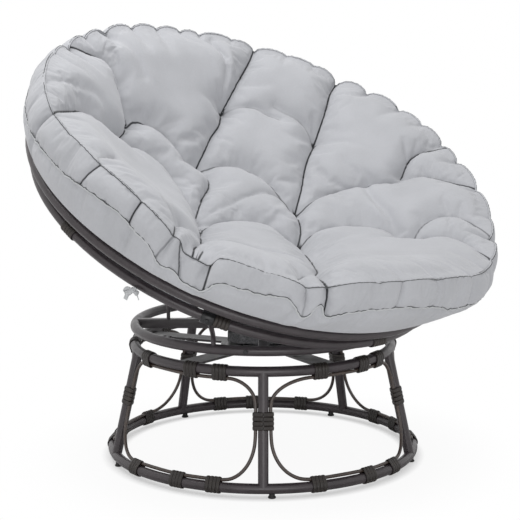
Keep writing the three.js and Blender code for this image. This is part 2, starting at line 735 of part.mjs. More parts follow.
function ringOf(sectors, pointAt) {
  return Array.from({ length: sectors }, (_, j) => pointAt((360 * j) / sectors));
}

function cushionRings() {
  const rings = cushion.shares.map((share) => {
    const sectors = cushion.sectors.findLast(([from]) => share >= from)[1];
    return ringOf(sectors, (angle) => topPoint(share, angle));
  });
  const outerSectors = cushion.sectors.at(-1)[1];
  const edges = ringOf(outerSectors, edgePoints);
  for (let row = 0; row < edges[0].length; row++) rings.push(edges.map((points) => points[row]));
  for (const [radius, height] of undersideRows()) {
    rings.push(ringOf(cushion.undersideSectors, (angle) => padPoint(radius, angle, height, 0)));
  }
  return rings;
}

// Faces between two rings, of which one may have twice the points of the other
function stitch(inner, outer, indices) {
  const [few, many] = inner.length <= outer.length ? [inner, outer] : [outer, inner];
  const ratio = many.length / few.length;
  const faces = [];
  few.forEach((corner, j) => {
    const next = few[(j + 1) % few.length];
    const far = Array.from({ length: ratio + 1 }, (_, k) => many[(ratio * j + k) % many.length]);
    faces.push([corner, far[0], far[1]], [corner, far[1], next]);
    if (ratio === 2) faces.push([next, far[1], far[2]]);
  });
  for (const face of faces) indices.push(...(few === inner ? face : face.reverse()));
}

function buildCushion() {
  const rings = cushionRings();
  const vertices = [topPoint(0, 0)];
  const indices = [];
  const numbered = rings.map((ring) => ring.map((point) => vertices.push(point) - 1));
  const bottomCentre = vertices.push(new THREE.Vector3(0, 0, rings.at(-1)[0].z)) - 1;
  const [first, last] = [numbered[0], numbered.at(-1)];
  first.forEach((point, j) => indices.push(0, point, first[(j + 1) % first.length]));
  for (let i = 0; i + 1 < numbered.length; i++) stitch(numbered[i], numbered[i + 1], indices);
  last.forEach((point, j) => indices.push(bottomCentre, last[(j + 1) % last.length], point));
  const geometry = new THREE.BufferGeometry().setFromPoints(vertices);
  geometry.setIndex(indices);
  addPiece(bowlGroup, 'cushion', geometry, 'cloth');
}

// A cloth tie knotted under the middle hoop, with two hanging ends
function buildTie(index) {
  const hoopMiddle = bowlPoint(midHoop.radius, tie.hoopAngles[index], midHoop.height);
  const outwards = hoopMiddle.clone().setZ(0).normalize();
  const place = hoopMiddle.clone().addScaledVector(outwards, tie.outwards);
  const knot = new THREE.SphereGeometry(tie.knotRadius, 7, 5);
  const tails = tieTail.leans.map((lean) => {
    const tail = new THREE.BoxGeometry(tieTail.thickness, tieTail.width, tieTail.length);
    tail.translate(0, 0, -tieTail.length / 2);
    tail.rotateX(lean);
    return tail;
  });
  const geometry = join(knot, ...tails);
  geometry.rotateZ(Math.atan2(outwards.y, outwards.x));
  geometry.translate(place.x, place.y, place.z - tie.drop);
  addPiece(seatGroup, `cushion_tie_${index + 1}`, geometry, 'cloth');
}

addPiece(baseGroup, 'base_bottom_ring', ringTube(bottomRing, tubeRadius), 'darkSteel');
addPiece(baseGroup, 'base_top_ring', ringTube(topRing, tubeRadius), 'darkSteel');
for (let i = 0; i < legCount; i++) {
  buildLeg(i);
  buildFoot(i);
  buildRodLoop(i);
  buildWinding(i);
}
buildArms();
buildTurntable();
buildPlateBolts();
buildSeatFrame();
buildSeatRing();
buildHoops();
buildRibs();
buildStrut('left', strut.ringAngle, strut.hoopAngle);
buildStrut('right', mirrored(strut.ringAngle), mirrored(strut.hoopAngle));
buildPost('left', -1, ribCount / 2);
buildPost('right', 1, 0);
buildCushion();
tie.hoopAngles.forEach((_, index) => buildTie(index));

const chair = new THREE.Group();
chair.add(baseGroup, seatGroup);

// Origin under the middle of the chair's box
const box = new THREE.Box3().setFromObject(chair, true);
const middle = box.getCenter(new THREE.Vector3());
chair.position.set(-middle.x, -middle.y, -box.min.z);
console.log(`swivel axis at ${chair.position.toArray().map((v) => v.toFixed(3)).join(', ')} mm`);

export default chair;
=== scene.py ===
import json
import math
import random

import bmesh
import bpy
import numpy as np
from mathutils import Matrix, Vector


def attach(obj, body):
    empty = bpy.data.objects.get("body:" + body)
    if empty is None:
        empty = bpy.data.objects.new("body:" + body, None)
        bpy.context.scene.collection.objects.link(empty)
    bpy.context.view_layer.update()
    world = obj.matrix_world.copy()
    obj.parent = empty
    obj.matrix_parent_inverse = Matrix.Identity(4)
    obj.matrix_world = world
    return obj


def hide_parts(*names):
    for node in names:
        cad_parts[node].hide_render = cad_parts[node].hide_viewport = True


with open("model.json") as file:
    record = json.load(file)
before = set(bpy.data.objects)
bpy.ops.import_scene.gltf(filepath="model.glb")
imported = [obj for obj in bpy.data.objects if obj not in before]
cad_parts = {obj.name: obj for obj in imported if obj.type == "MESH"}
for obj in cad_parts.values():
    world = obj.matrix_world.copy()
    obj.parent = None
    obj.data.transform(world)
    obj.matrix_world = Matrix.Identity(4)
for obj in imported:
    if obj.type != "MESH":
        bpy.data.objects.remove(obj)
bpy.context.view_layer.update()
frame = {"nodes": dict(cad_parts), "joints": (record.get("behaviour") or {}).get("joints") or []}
print("frame loaded")

# Everything is in metres and degrees. Base pieces are drawn about the swivel axis, bowl pieces about the bowl's axis.
swivel = Vector((*frame["joints"][0]["pos_m"][:2], 0))
upwards = Vector((0, 0, 1))

tube = {"radius": 0.0105, "sides": 20, "ringSteps": 120}
bottomRing = {"radius": 0.330, "height": 0.019}
topRing = {"radius": 0.279, "height": 0.245}
seatRing = {"radius": 0.278, "height": 0.287}
legs = {"count": 5, "bay": 72, "first": -135, "steps": 8}
bowl = {"tilt": 30, "y": 0.056, "z": 0.562}
rim = {"radius": 0.480, "height": 0.0}
midHoop = {"radius": 0.460, "height": -0.038}
bottomHoop = {"radius": 0.110, "height": -0.187, "tube": {"radius": 0.006, "sides": 14}}
ribs = {"count": 8, "radius": 0.004, "sides": 12,
        "profile": ((0.480, 0.0), (0.435, -0.039), (0.380, -0.080), (0.300, -0.125), (0.200, -0.163),
                    (0.146, -0.179), (0.110, -0.187))}

bowlPlace = (Matrix.Translation(swivel + Vector((0, bowl["y"], bowl["z"])))
             @ Matrix.Rotation(math.radians(bowl["tilt"]), 4, "X"))
bowlTurn = bowlPlace.to_3x3()


def polar(radius, angle, height=0.0):
    turn = math.radians(angle)
    return Vector((radius * math.cos(turn), radius * math.sin(turn), height))


def basePoint(radius, angle, height):
    return swivel + polar(radius, angle, height)


def bowlPoint(radius, angle, height):
    return bowlPlace @ polar(radius, angle, height)


def ringPoint(place, ring, angle):
    return place(ring["radius"], angle, ring["height"])


def same(angle):
    return angle


def mirrored(angle):
    return 180 - angle


bothSides = (("Left", same), ("Right", mirrored))


def legAngle(index):
    return legs["first"] + legs["bay"] * index


# The legs and the bent rods lie on one cone between the two base rings
def coneRadius(height):
    share = (height - bottomRing["height"]) / (topRing["height"] - bottomRing["height"])
    return bottomRing["radius"] + share * (topRing["radius"] - bottomRing["radius"])


def conePoint(angle, height):
    return basePoint(coneRadius(height), angle, height)


def straightPath(start, end, steps):
    return [start.lerp(end, step / steps) for step in range(steps + 1)]


# Smooth line through points, drawn taut: each knot is spaced by the root of the distance
def smoothPath(points, steps=8, closed=False):
    points = [Vector(p) for p in points]
    count = len(points)
    if not closed:
        points = [2 * points[0] - points[1]] + points + [2 * points[-1] - points[-2]]
    else:
        points = [points[-1]] + points + points[:2]
    path = []
    for i in range(count if closed else count - 1):
        a, b, c, d = points[i:i + 4]
        first, second, third = [max((q - p).length, 1e-9) ** 0.5 for p, q in ((a, b), (b, c), (c, d))]
        start = ((b - a) / first - (c - a) / (first + second) + (c - b) / second) * second
        end = ((c - b) / second - (d - b) / (second + third) + (d - c) / third) * second
        for step in range(steps):
            t = step / steps
            path.append(b + start * t + (3 * (c - b) - 2 * start - end) * t ** 2
                        + (2 * (b - c) + start + end) * t ** 3)
    return path if closed else path + [points[-2].copy()]


def axesMatrix(x, y, z, origin):
    matrix = Matrix((x, y, z)).transposed().to_4x4()
    matrix.translation = origin
    return matrix


# Meshes and pieces

def meshFrom(name, points, faces=(), edges=()):
    mesh = bpy.data.meshes.new(name)
    mesh.from_pydata([tuple(p) for p in points], edges, faces)
    mesh.update()
    return mesh


# Faces of a tube made of rings of points, with both ends closed
def tubeFaces(rings, sides):
    faces = []
    for i in range(rings - 1):
        for j in range(sides):
            a, b = i * sides + j, i * sides + (j + 1) % sides
            faces.append((a, b, b + sides, a + sides))
    return faces + [tuple(reversed(range(sides))), tuple(range((rings - 1) * sides, rings * sides))]


def meshOf(bm, name):
    mesh = bpy.data.meshes.new(name)
    bm.to_mesh(mesh)
    bm.free()
    return mesh


def pathMesh(name, points, closed):
    edges = [(i, i + 1) for i in range(len(points) - 1)]
    return meshFrom(name, points, edges=edges + [(len(points) - 1, 0)] * closed)


def setValues(mesh, name, kind, values):
    layer = mesh.attributes.new(name, kind, "POINT")
    layer.data.foreach_set("value" if kind == "FLOAT" else "vector", np.array(values, np.float32).ravel())


def linked(name, data):
    made = bpy.data.objects.new(name, data)
    bpy.context.scene.collection.objects.link(made)
    return made


def addPiece(name, mesh, body, replaced=(), finish=None, smooth=True):
    piece = linked(name, mesh)
    if finish is not None:
        mesh.materials.clear()
        mesh.materials.append(finish)
    if smooth:
        mesh.polygons.foreach_set("use_smooth", [True] * len(mesh.polygons))
    if replaced:
        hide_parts(*replaced)
    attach(piece, body)
    return piece


# One mesh from several, each put in its place, with the path attribute kept
def gathered(name, parts):
    points, faces, coords = [], [], []
    for mesh, place in parts:
        start = len(points)
        points += [place @ v.co for v in mesh.vertices]
        faces += [[start + i for i in polygon.vertices] for polygon in mesh.polygons]
        layer = mesh.attributes.get("pathCoord")
        coords += [tuple(value.vector) for value in layer.data] if layer else [tuple(v.co) for v in mesh.vertices]
    whole = meshFrom(name, points, faces)
    setValues(whole, "pathCoord", "FLOAT_VECTOR", coords)
    return whole


def bevelled(piece, width, segments=2):
    bevel = piece.modifiers.new("edges", "BEVEL")
    bevel.width = width
    bevel.segments = segments
    bevel.limit_method = "ANGLE"
    bevel.angle_limit = math.radians(35)


# Node trees

def connect(tree, sockets, sources):
    for label, source in sources.items():
        if isinstance(source, bpy.types.Node):
            source = source.outputs[0]
        if isinstance(source, bpy.types.NodeSocket):
            tree.links.new(source, sockets[label])
        else:
            sockets[label].default_value = source


def node(tree, kind, sources=None, **settings):
    made = tree.nodes.new(kind)
    for label, value in settings.items():
        setattr(made, label, value)
    connect(tree, made.inputs, sources or {})
    return made


def calc(tree, operation, *values, clamp=False):
    return node(tree, "ShaderNodeMath", dict(enumerate(values)), operation=operation, use_clamp=clamp)


def combine(tree, x, y, z):
    return node(tree, "ShaderNodeCombineXYZ", {0: x, 1: y, 2: z})


# A node group with named sockets: gives back the group, what goes in and what comes out
def newGroup(name, kind, inputs, outputs):
    group = bpy.data.node_groups.new(name, kind)
    for side, sockets in (("INPUT", inputs), ("OUTPUT", outputs)):
        for label, socket in sockets.items():
            group.interface.new_socket(label, in_out=side, socket_type="NodeSocket" + socket)
    return group, group.nodes.new("NodeGroupInput").outputs, group.nodes.new("NodeGroupOutput").inputs


def newTree(name, inputs):
    return newGroup(name, "GeometryNodeTree", {"Geometry": "Geometry", **inputs}, {"Geometry": "Geometry"})


def captured(tree, geometry, kind, value):
    made = tree.nodes.new("GeometryNodeCaptureAttribute")
    made.capture_items.new(kind, "kept")
    connect(tree, made.inputs, {0: geometry, 1: value})
    return made.outputs[0], made.outputs[1]


# Sweeps a round or flattened section along a line, and keeps length and section place as pathCoord
def sweepNodes(tree, line, width, flatness, sides):
    course, length = captured(tree, line, "FLOAT", node(tree, "GeometryNodeSplineParameter").outputs["Length"])
    circle = node(tree, "GeometryNodeCurvePrimitiveCircle", {"Resolution": sides, "Radius": width})
    section = node(tree, "GeometryNodeTransform", {"Geometry": circle, "Scale": combine(tree, flatness, 1, 1)})
    outline, place = captured(tree, section, "VECTOR", node(tree, "GeometryNodeInputPosition"))
    swept = node(tree, "GeometryNodeCurveToMesh", {0: course, 1: outline, "Fill Caps": True})
    across = node(tree, "ShaderNodeSeparateXYZ", {0: place}).outputs
    return node(tree, "GeometryNodeStoreNamedAttribute",
                {"Geometry": swept, "Name": "pathCoord", "Value": combine(tree, length, across[0], across[1])},
                data_type="FLOAT_VECTOR", domain="POINT")


def finishTree(tree, shape, material, made):
    real = node(tree, "GeometryNodeRealizeInstances", {0: shape})
    painted = node(tree, "GeometryNodeSetMaterial", {0: real, "Material": material})
    connect(tree, made, {0: painted})
    return tree


def makeTubeTree():
    tree, given, made = newTree("tubeAlongPath", {"Radius": "Float", "Sides": "Int", "Material": "Material"})
    line = node(tree, "GeometryNodeMeshToCurve", {0: given["Geometry"]})
    return finishTree(tree, sweepNodes(tree, line, given["Radius"], 1, given["Sides"]), given["Material"], made)


# Turns of cane beside each other: one flat strand, repeated along Z with a little unevenness
def makeBindingTree():
    tree, given, made = newTree("caneBinding", {"Strands": "Int", "Pitch": "Float", "Width": "Float",
                                                "Flatness": "Float", "Sides": "Int", "Unevenness": "Float",
                                                "Seed": "Int", "Material": "Material"})
    line = node(tree, "GeometryNodeMeshToCurve", {0: given["Geometry"]})
    upright = node(tree, "GeometryNodeSetCurveNormal", {0: line}, mode="Z_UP")
    half = calc(tree, "MULTIPLY", given["Width"], 0.5)
    strand = sweepNodes(tree, upright, half, given["Flatness"], given["Sides"])
    span = calc(tree, "MULTIPLY", calc(tree, "SUBTRACT", given["Strands"], 1), given["Pitch"])
    places = node(tree, "GeometryNodeMeshLine", {
        "Count": given["Strands"], "Start Location": combine(tree, 0, 0, calc(tree, "MULTIPLY", span, -0.5)),
        "Offset": combine(tree, 0, 0, given["Pitch"])})
    tilt = node(tree, "FunctionNodeRandomValue",
                {0: calc(tree, "MULTIPLY", given["Unevenness"], -1), 1: given["Unevenness"], "Seed": given["Seed"]},
                data_type="FLOAT_VECTOR")
    copies = node(tree, "GeometryNodeInstanceOnPoints", {"Points": places, "Instance": strand, "Rotation": tilt})
    return finishTree(tree, copies, given["Material"], made)


# The same small part on every point of the mesh, each turned by its own share of a circle
def makeScatterTree():
    tree, given, made = newTree("fastenersOnPoints", {"Part": "Object", "Seed": "Int", "Material": "Material"})
    part = node(tree, "GeometryNodeObjectInfo", {"Object": given["Part"]})
    spin = node(tree, "FunctionNodeRandomValue", {3: 2 * math.pi, "Seed": given["Seed"]}, data_type="FLOAT")
    copies = node(tree, "GeometryNodeInstanceOnPoints", {
        "Points": given["Geometry"], "Instance": part.outputs["Geometry"],
        "Rotation": combine(tree, 0, 0, spin.outputs[1])})
    return finishTree(tree, copies, given["Material"], made)


# Runs a tree on a mesh and gives back the plain mesh that comes out
def shaped(tree, mesh, **settings):
    holder = linked(mesh.name, mesh)
    modifier = holder.modifiers.new("shape", "NODES")
    modifier.node_group = tree
    for item in tree.interface.items_tree:
        if item.in_out == "INPUT" and item.name in settings:
            modifier[item.identifier] = settings[item.name]
    graph = bpy.context.evaluated_depsgraph_get()
    graph.update()
    result = bpy.data.meshes.new_from_object(holder.evaluated_get(graph), preserve_all_data_layers=True,
                                             depsgraph=graph)
    bpy.data.objects.remove(holder)
    bpy.data.meshes.remove(mesh)
    return result


tubeTree = makeTubeTree()
bindingTree = makeBindingTree()
scatterTree = makeScatterTree()


# Materials

def noise(tree, coord, scale, detail, **more):
    return node(tree, "ShaderNodeTexNoise", {"Vector": coord, "Scale": scale, "Detail": detail, **more})


def remap(tree, value, *limits, **settings):
    return node(tree, "ShaderNodeMapRange", dict(enumerate((value, *limits))), **settings)


def ramp(tree, factor, stops):
    made = node(tree, "ShaderNodeValToRGB", {0: factor})
    while len(made.color_ramp.elements) < len(stops):
        made.color_ramp.elements.new(0.5)
    for element, (place, colour) in zip(made.color_ramp.elements, stops):
        element.position = place
        element.color = (*colour, 1)
    return made


def bump(tree, height, distance, strength):
    return node(tree, "ShaderNodeBump", {"Height": height, "Distance": distance, "Strength": strength})


# A vector stretched along the tube or strand, for streaks
def stretched(tree, coord, along):
    return node(tree, "ShaderNodeMapping", {"Vector": coord, "Scale": (along, 1, 1)})


def objectCoord(tree):
    return node(tree, "ShaderNodeTexCoord").outputs["Object"]


def attribute(tree, name):
    return node(tree, "ShaderNodeAttribute", attribute_name=name).outputs


def pathCoord(tree):
    return attribute(tree, "pathCoord")["Vector"]


def newMaterial(name):
    material = bpy.data.materials.new(name)
    material.use_nodes = True
    return material, material.node_tree, material.node_tree.nodes["Principled BSDF"].inputs


# Uneven enamel: cloudy colour, fine streaks along the tube and worn high spots
def makeEnamelGroup():
    group, given, made = newGroup("enamelWear", "ShaderNodeTree",
                                  {"Coord": "Vector", "Dark": "Color", "Worn": "Color", "Wear": "Float"},
                                  {"Color": "Color", "Roughness": "Float", "Height": "Float"})
    cloud = noise(group, given["Coord"], 38, 5)
    streak = noise(group, stretched(group, given["Coord"], 0.08), 620, 3)
    spots = noise(group, given["Coord"], 150, 6, Roughness=0.7)
    worn = calc(group, "MULTIPLY", remap(group, spots, 0.5, 0.72, 0, 1), given["Wear"])
    share = calc(group, "ADD", calc(group, "MULTIPLY", streak, cloud), worn, clamp=True)
    mixed = node(group, "ShaderNodeMix", {0: share, 6: given["Dark"], 7: given["Worn"]}, data_type="RGBA")
    connect(group, made, {"Color": mixed.outputs[2], "Roughness": remap(group, cloud, 0.3, 0.7, 0.27, 0.42),
                          "Height": streak})
    return group


# Plain weave: two crossed sets of threads, with slubs that thicken some of them
def makeWeaveGroup():
    group, given, made = newGroup("plainWeave", "ShaderNodeTree", {"Coord": "Vector", "Threads": "Float"},
                                  {"Height": "Float", "Slub": "Float"})
    across, along = [node(group, "ShaderNodeTexWave",
                          {"Vector": given["Coord"], "Scale": given["Threads"], "Distortion": 0.6, "Detail": 1},
                          wave_type="BANDS", bands_direction=axis).outputs[1] for axis in "XY"]
    slub = noise(group, given["Coord"], 240, 4)
    height = calc(group, "ADD", calc(group, "MULTIPLY", across, along), slub)
    connect(group, made, {"Height": height, "Slub": slub})
    return group


enamelGroup = makeEnamelGroup()
weaveGroup = makeWeaveGroup()


def enamelMaterial(name, dark, worn, wear, swept=True, metallic=0.0):
    material, tree, shader = newMaterial(name)
    coord = pathCoord(tree) if swept else objectCoord(tree)
    made = node(tree, "ShaderNodeGroup", {"Coord": coord, "Dark": (*dark, 1), "Worn": (*worn, 1), "Wear": wear},
                node_tree=enamelGroup).outputs
    connect(tree, shader, {"Base Color": made["Color"], "Roughness": made["Roughness"], "Metallic": metallic,
                           "Specular IOR Level": 0.55, "Normal": bump(tree, made["Height"], 0.0002, 0.35)})
    return material


def caneMaterial():
    material, tree, shader = newMaterial("caneStrand")
    coord = pathCoord(tree)
    fibre = noise(tree, stretched(tree, coord, 0.03), 900, 2)
    mixed = calc(tree, "MULTIPLY", fibre, noise(tree, coord, 70, 4))
    colour = ramp(tree, mixed, [(0.12, (0.010, 0.008, 0.007)), (0.30, (0.026, 0.020, 0.017)),
                                (0.5, (0.058, 0.045, 0.037))])
    connect(tree, shader, {"Base Color": colour, "Roughness": remap(tree, fibre, 0.3, 0.7, 0.42, 0.62),
                           "Normal": bump(tree, fibre, 0.0004, 0.6)})
    return material


def zincMaterial():
    material, tree, shader = newMaterial("zincPlating")
    coord = objectCoord(tree)
    spangle = node(tree, "ShaderNodeTexVoronoi", {"Vector": coord, "Scale": 260}).outputs["Distance"]
    cloud = noise(tree, coord, 45, 5)
    mixed = calc(tree, "MULTIPLY", spangle, cloud)
    colour = ramp(tree, mixed, [(0.0, (0.04, 0.04, 0.043)), (0.4, (0.10, 0.10, 0.104))])
    connect(tree, shader, {"Base Color": colour, "Roughness": remap(tree, cloud, 0.3, 0.7, 0.24, 0.42),
                           "Metallic": 1, "Normal": bump(tree, cloud, 0.0003, 0.3)})
    return material


def rubberMaterial():
    material, tree, shader = newMaterial("footRubber")
    grain = noise(tree, objectCoord(tree), 900, 3)
    colour = ramp(tree, grain, [(0.3, (0.008, 0.008, 0.008)), (0.7, (0.022, 0.021, 0.020))])
    connect(tree, shader, {"Base Color": colour, "Roughness": 0.7, "Normal": bump(tree, grain, 0.0003, 0.5)})
    return material


# Woven cloth. On the pad, painted shade also darkens a thin line along each deep crease, pleat, tuft pit and seam,
# where shade falls.
def clothMaterial(name, light, shade, shadeCreases=False):
    material, tree, shader = newMaterial(name)
    coord = pathCoord(tree)
    weave = node(tree, "ShaderNodeGroup", {"Coord": coord, "Threads": 150}, node_tree=weaveGroup).outputs
    patch = calc(tree, "ADD", calc(tree, "MULTIPLY", weave["Slub"], 0.35), noise(tree, coord, 9, 3))
    colour = ramp(tree, patch, [(0.35, shade), (0.85, light)])
    if shadeCreases:
        # Painted shade: a near-black line along the crease, as strong as the crease is deep
        away = calc(tree, "ABSOLUTE", attribute(tree, "creaseSide")["Fac"])
        line = remap(tree, away, 0.0008, 0.0032, 1, 0, interpolation_type="SMOOTHSTEP")
        near = remap(tree, attribute(tree, "crease")["Fac"], 0.30, 0.85, interpolation_type="SMOOTHSTEP")
        colour = node(tree, "ShaderNodeMix",
                      {0: calc(tree, "MULTIPLY", line, near), 6: colour, 7: (0.055, 0.057, 0.06, 1)},
                      data_type="RGBA", blend_type="MULTIPLY").outputs[2]
    connect(tree, shader, {"Base Color": colour, "Roughness": 0.92, "Specular IOR Level": 0.25,
                           "Sheen Weight": 0.25, "Sheen Roughness": 0.45,
                           "Normal": bump(tree, weave["Height"], 0.0003, 0.35)})
    return material


enamel = enamelMaterial("darkEnamel", (0.021, 0.0168, 0.0190), (0.078, 0.062, 0.068), 0.25)
enamelRod = enamelMaterial("darkEnamelRods", (0.024, 0.019, 0.018), (0.110, 0.074, 0.056), 0.45)
enamelPlate = enamelMaterial("darkEnamelPlates", (0.020, 0.017, 0.0185), (0.068, 0.056, 0.060), 0.2, False)
blackSteel = enamelMaterial("blackSteel", (0.009, 0.009, 0.010), (0.05, 0.05, 0.052), 0.2, False, 0.4)
cane = caneMaterial()
zinc = zincMaterial()
rubber = rubberMaterial()
# The pad's cloth, with painted shade along its creases and seams
cloth = clothMaterial("cushionCloth", (0.452, 0.458, 0.482), (0.392, 0.398, 0.418), shadeCreases=True)
tape = clothMaterial("tieTape", (0.50, 0.51, 0.52), (0.43, 0.44, 0.45))
# Near-black cords in the seams, as painted shade along the seam grooves
seamShadeFinish = clothMaterial("seamThread", (0.10, 0.105, 0.11), (0.05, 0.052, 0.055))
print("materials made")


# Rings, hoops, legs and ribs

# A tube along a line. The section is any dictionary with a radius and a number of sides.
def addTube(name, path, section, finish, body, replaced=(), closed=False):
    mesh = shaped(tubeTree, pathMesh(name, path, closed), Radius=section["radius"], Sides=section["sides"],
                  Material=finish)
    addPiece(name, mesh, body, replaced)


def addRing(name, place, ring, body, replaced, section=tube):
    path = [ringPoint(place, ring, 360 * i / tube["ringSteps"]) for i in range(tube["ringSteps"])]
    addTube(name, path, section, enamel, body, [replaced], closed=True)


addRing("bottomRingTube", basePoint, bottomRing, "base", "base_bottom_ring")
addRing("topRingTube", basePoint, topRing, "base", "base_top_ring")
addRing("rimTube", bowlPoint, rim, "seat", "bowl_rim")
addRing("middleHoopTube", bowlPoint, midHoop, "seat", "bowl_middle_hoop")
addRing("bottomHoopTube", bowlPoint, bottomHoop, "seat", "bowl_bottom_hoop", bottomHoop["tube"])

for i in range(legs["count"]):
    path = straightPath(*[conePoint(legAngle(i), ring["height"]) for ring in (bottomRing, topRing)], legs["steps"])
    addTube(f"legTube{i + 1}", path, tube, enamel, "base", [f"base_leg_{i + 1}"])


def ribAngle(index):
    return 360 / ribs["count"] * index


for i in range(ribs["count"]):
    path = smoothPath([bowlPoint(r, ribAngle(i), height) for r, height in ribs["profile"]])
    addTube(f"ribRod{i + 1}", path, ribs, enamelRod, "seat", [f"bowl_rib_{i + 1}"])
print("rings, legs and ribs made")


# Bent rods between the legs, and the cane that binds them. Strap places are angles from the leg on the left.

rod = {"radius": 0.0037, "gap": 0.0012, "sides": 10, "windingHeight": 0.149, "straightHalf": 0.030,
       "cornerSteps": 6, "touchGap": 0.0003}
strap = {"length": 0.030, "lower": (19.5, 40.5, 54.5),
         "upper": ((24, 46, 57.5), (19, 43, 57), (19, 43, 57), (19, 43, 57), (14, 41, 54))}
binding = {"strands": 4, "pitch": 0.0076, "width": 0.0080, "thickness": 0.0026, "unevenness": 0.022, "sides": 8,
           "tubeSteps": 16, "rodSteps": 8}
legBinding = {"strands": 4, "pitch": 0.0090, "width": 0.0094, "groove": 0.0006, "dip": 0.0075, "tuck": 0.12,
              "legSteps": 5}
hoopBinding = {"strands": 5, "ribPoint": (0.4335, -0.0402)}

rodLow = bottomRing["height"] + tube["radius"] + rod["radius"] + rod["touchGap"]
rodHigh = topRing["height"] - tube["radius"] - rod["radius"] - rod["touchGap"]
rodOffset = tube["radius"] + rod["radius"] + rod["gap"]
stand = binding["thickness"] / 2


def rodCorner(sideAngle, ringAngle, ringHeight):
    start = rod["windingHeight"] + math.copysign(rod["straightHalf"], ringHeight - rod["windingHeight"])
    turns = [math.pi / 2 * i / rod["cornerSteps"] for i in range(rod["cornerSteps"] + 1)]
    return [(sideAngle + (ringAngle - sideAngle) * (1 - math.cos(turn)),
             start + (ringHeight - start) * math.sin(turn)) for turn in turns]


def rodCourse(bay):
    near = math.degrees(math.asin(rodOffset / coneRadius(rod["windingHeight"])))
    far = legs["bay"] - near
    half = math.degrees(strap["length"] / 2 / topRing["radius"])
    lowFirst, lowMiddle, lowLast = strap["lower"]
    highFirst, highMiddle, highLast = strap["upper"][bay]
    course = [(lowMiddle, rodLow), (lowLast, rodLow)]
    course += rodCorner(far, lowLast + half, rodLow)[::-1] + [(far, rod["windingHeight"])]
    course += rodCorner(far, highLast + half, rodHigh)
    course += [(highLast, rodHigh), (highMiddle, rodHigh), (highFirst, rodHigh)]
    course += rodCorner(near, highFirst - half, rodHigh)[::-1] + [(near, rod["windingHeight"])]
    course += rodCorner(near, lowFirst - half, rodLow) + [(lowFirst, rodLow)]
    return [conePoint(legAngle(bay) + angle, height) for angle, height in course]


# Points on a circle about a place on X, from one turn to another
def arc(middle, radius, start, end, steps):
    turns = [start + (end - start) * i / steps for i in range(steps + 1)]
    return [Vector((middle + radius * math.cos(turn), radius * math.sin(turn), 0)) for turn in turns]


# Outline of a taut band round two circles, the second one out along X
def bandOutline(firstRadius, secondRadius, span):
    contact = math.acos((firstRadius - secondRadius) / span)
    return (arc(0, firstRadius, contact, 2 * math.pi - contact, binding["tubeSteps"])
            + arc(span, secondRadius, -contact, contact, binding["rodSteps"]))


def boundMesh(outline, strands, seed, pitch=binding["pitch"], width=binding["width"]):
    return shaped(bindingTree, pathMesh("binding", outline, True), Strands=strands, Pitch=pitch, Width=width,
                  Flatness=binding["thickness"] / width, Sides=binding["sides"],
                  Unevenness=binding["unevenness"], Seed=seed, Material=cane)


# The band that ties a thin rod to a tube, in the tube's cross-section
def boundPair(middle, other, along, otherRadius, strands, seed):
    across = other - middle
    outline = bandOutline(tube["radius"] + stand, otherRadius + stand, across.length)
    across.normalize()
    return boundMesh(outline, strands, seed), axesMatrix(across, along.cross(across), along, middle)


def strapPart(ring, rodHeight, angle, seed):
    return boundPair(ringPoint(basePoint, ring, angle), conePoint(angle, rodHeight), polar(1, angle + 90),
                     rod["radius"], binding["strands"], seed)


for bay in range(legs["count"]):
    addTube(f"bentRod{bay + 1}", smoothPath(rodCourse(bay), 5, closed=True), rod, enamelRod, "base",
            [f"base_rod_loop_{bay + 1}"], closed=True)
    parts = [strapPart(ring, height, legAngle(bay) + angle, 10 * bay + first + i)
             for ring, height, angles, first in ((bottomRing, rodLow, strap["lower"], 0),
                                                 (topRing, rodHigh, strap["upper"][bay], 5))
             for i, angle in enumerate(angles)]
    addPiece(f"rodBindings{bay + 1}", gathered(f"rodBindings{bay + 1}", parts), "base", finish=cane)


# Half of a leg's winding: round one side of the leg and the rod beside it, with its ends tucked into the groove
def legBindingOutline():
    legRadius = tube["radius"] + stand
    rodRadius = rod["radius"] + stand
    contact = math.acos((legRadius - rodRadius) / rodOffset)
    leg = ([Vector((legBinding["groove"], -legBinding["dip"], 0))]
           + arc(0, legRadius, legBinding["tuck"] - math.pi / 2, -contact, legBinding["legSteps"]))
    return (leg + arc(rodOffset, rodRadius, -contact, contact, binding["rodSteps"])
            + [Vector((p.x, -p.y, 0)) for p in reversed(leg)])


for i in range(legs["count"]):
    angle = legAngle(i)
    middle = conePoint(angle, rod["windingHeight"])
    upLeg = (conePoint(angle, topRing["height"]) - conePoint(angle, bottomRing["height"])).normalized()
    parts = []
    for column, sideways in enumerate((polar(1, angle + 90), -polar(1, angle + 90))):
        mesh = boundMesh(legBindingOutline(), legBinding["strands"], 100 + 2 * i + column,
                         legBinding["pitch"], legBinding["width"])
        parts.append((mesh, axesMatrix(sideways, upLeg.cross(sideways), upLeg, middle)))
    addPiece(f"legBinding{i + 1}", gathered(f"legBinding{i + 1}", parts), "base",
             [f"base_leg_winding_{i + 1}"], finish=cane)

# Cane round the middle hoop and each rib that crosses it
parts = []
for i in range(ribs["count"]):
    radius, height = hoopBinding["ribPoint"]
    along = (bowlTurn @ polar(1, ribAngle(i) + 90)).normalized()
    parts.append(boundPair(ringPoint(bowlPoint, midHoop, ribAngle(i)), bowlPoint(radius, ribAngle(i), height), along,
                           ribs["radius"], hoopBinding["strands"], 200 + i))
addPiece("hoopBindings", gathered("hoopBindings", parts), "seat", finish=cane)
print("cane bindings made")


# Feet, screws and plates

def lathe(name, outline, sides):
    points = [polar(radius, 360 * j / sides, height) for radius, height in outline for j in range(sides)]
    return meshFrom(name, points, tubeFaces(len(outline), sides))


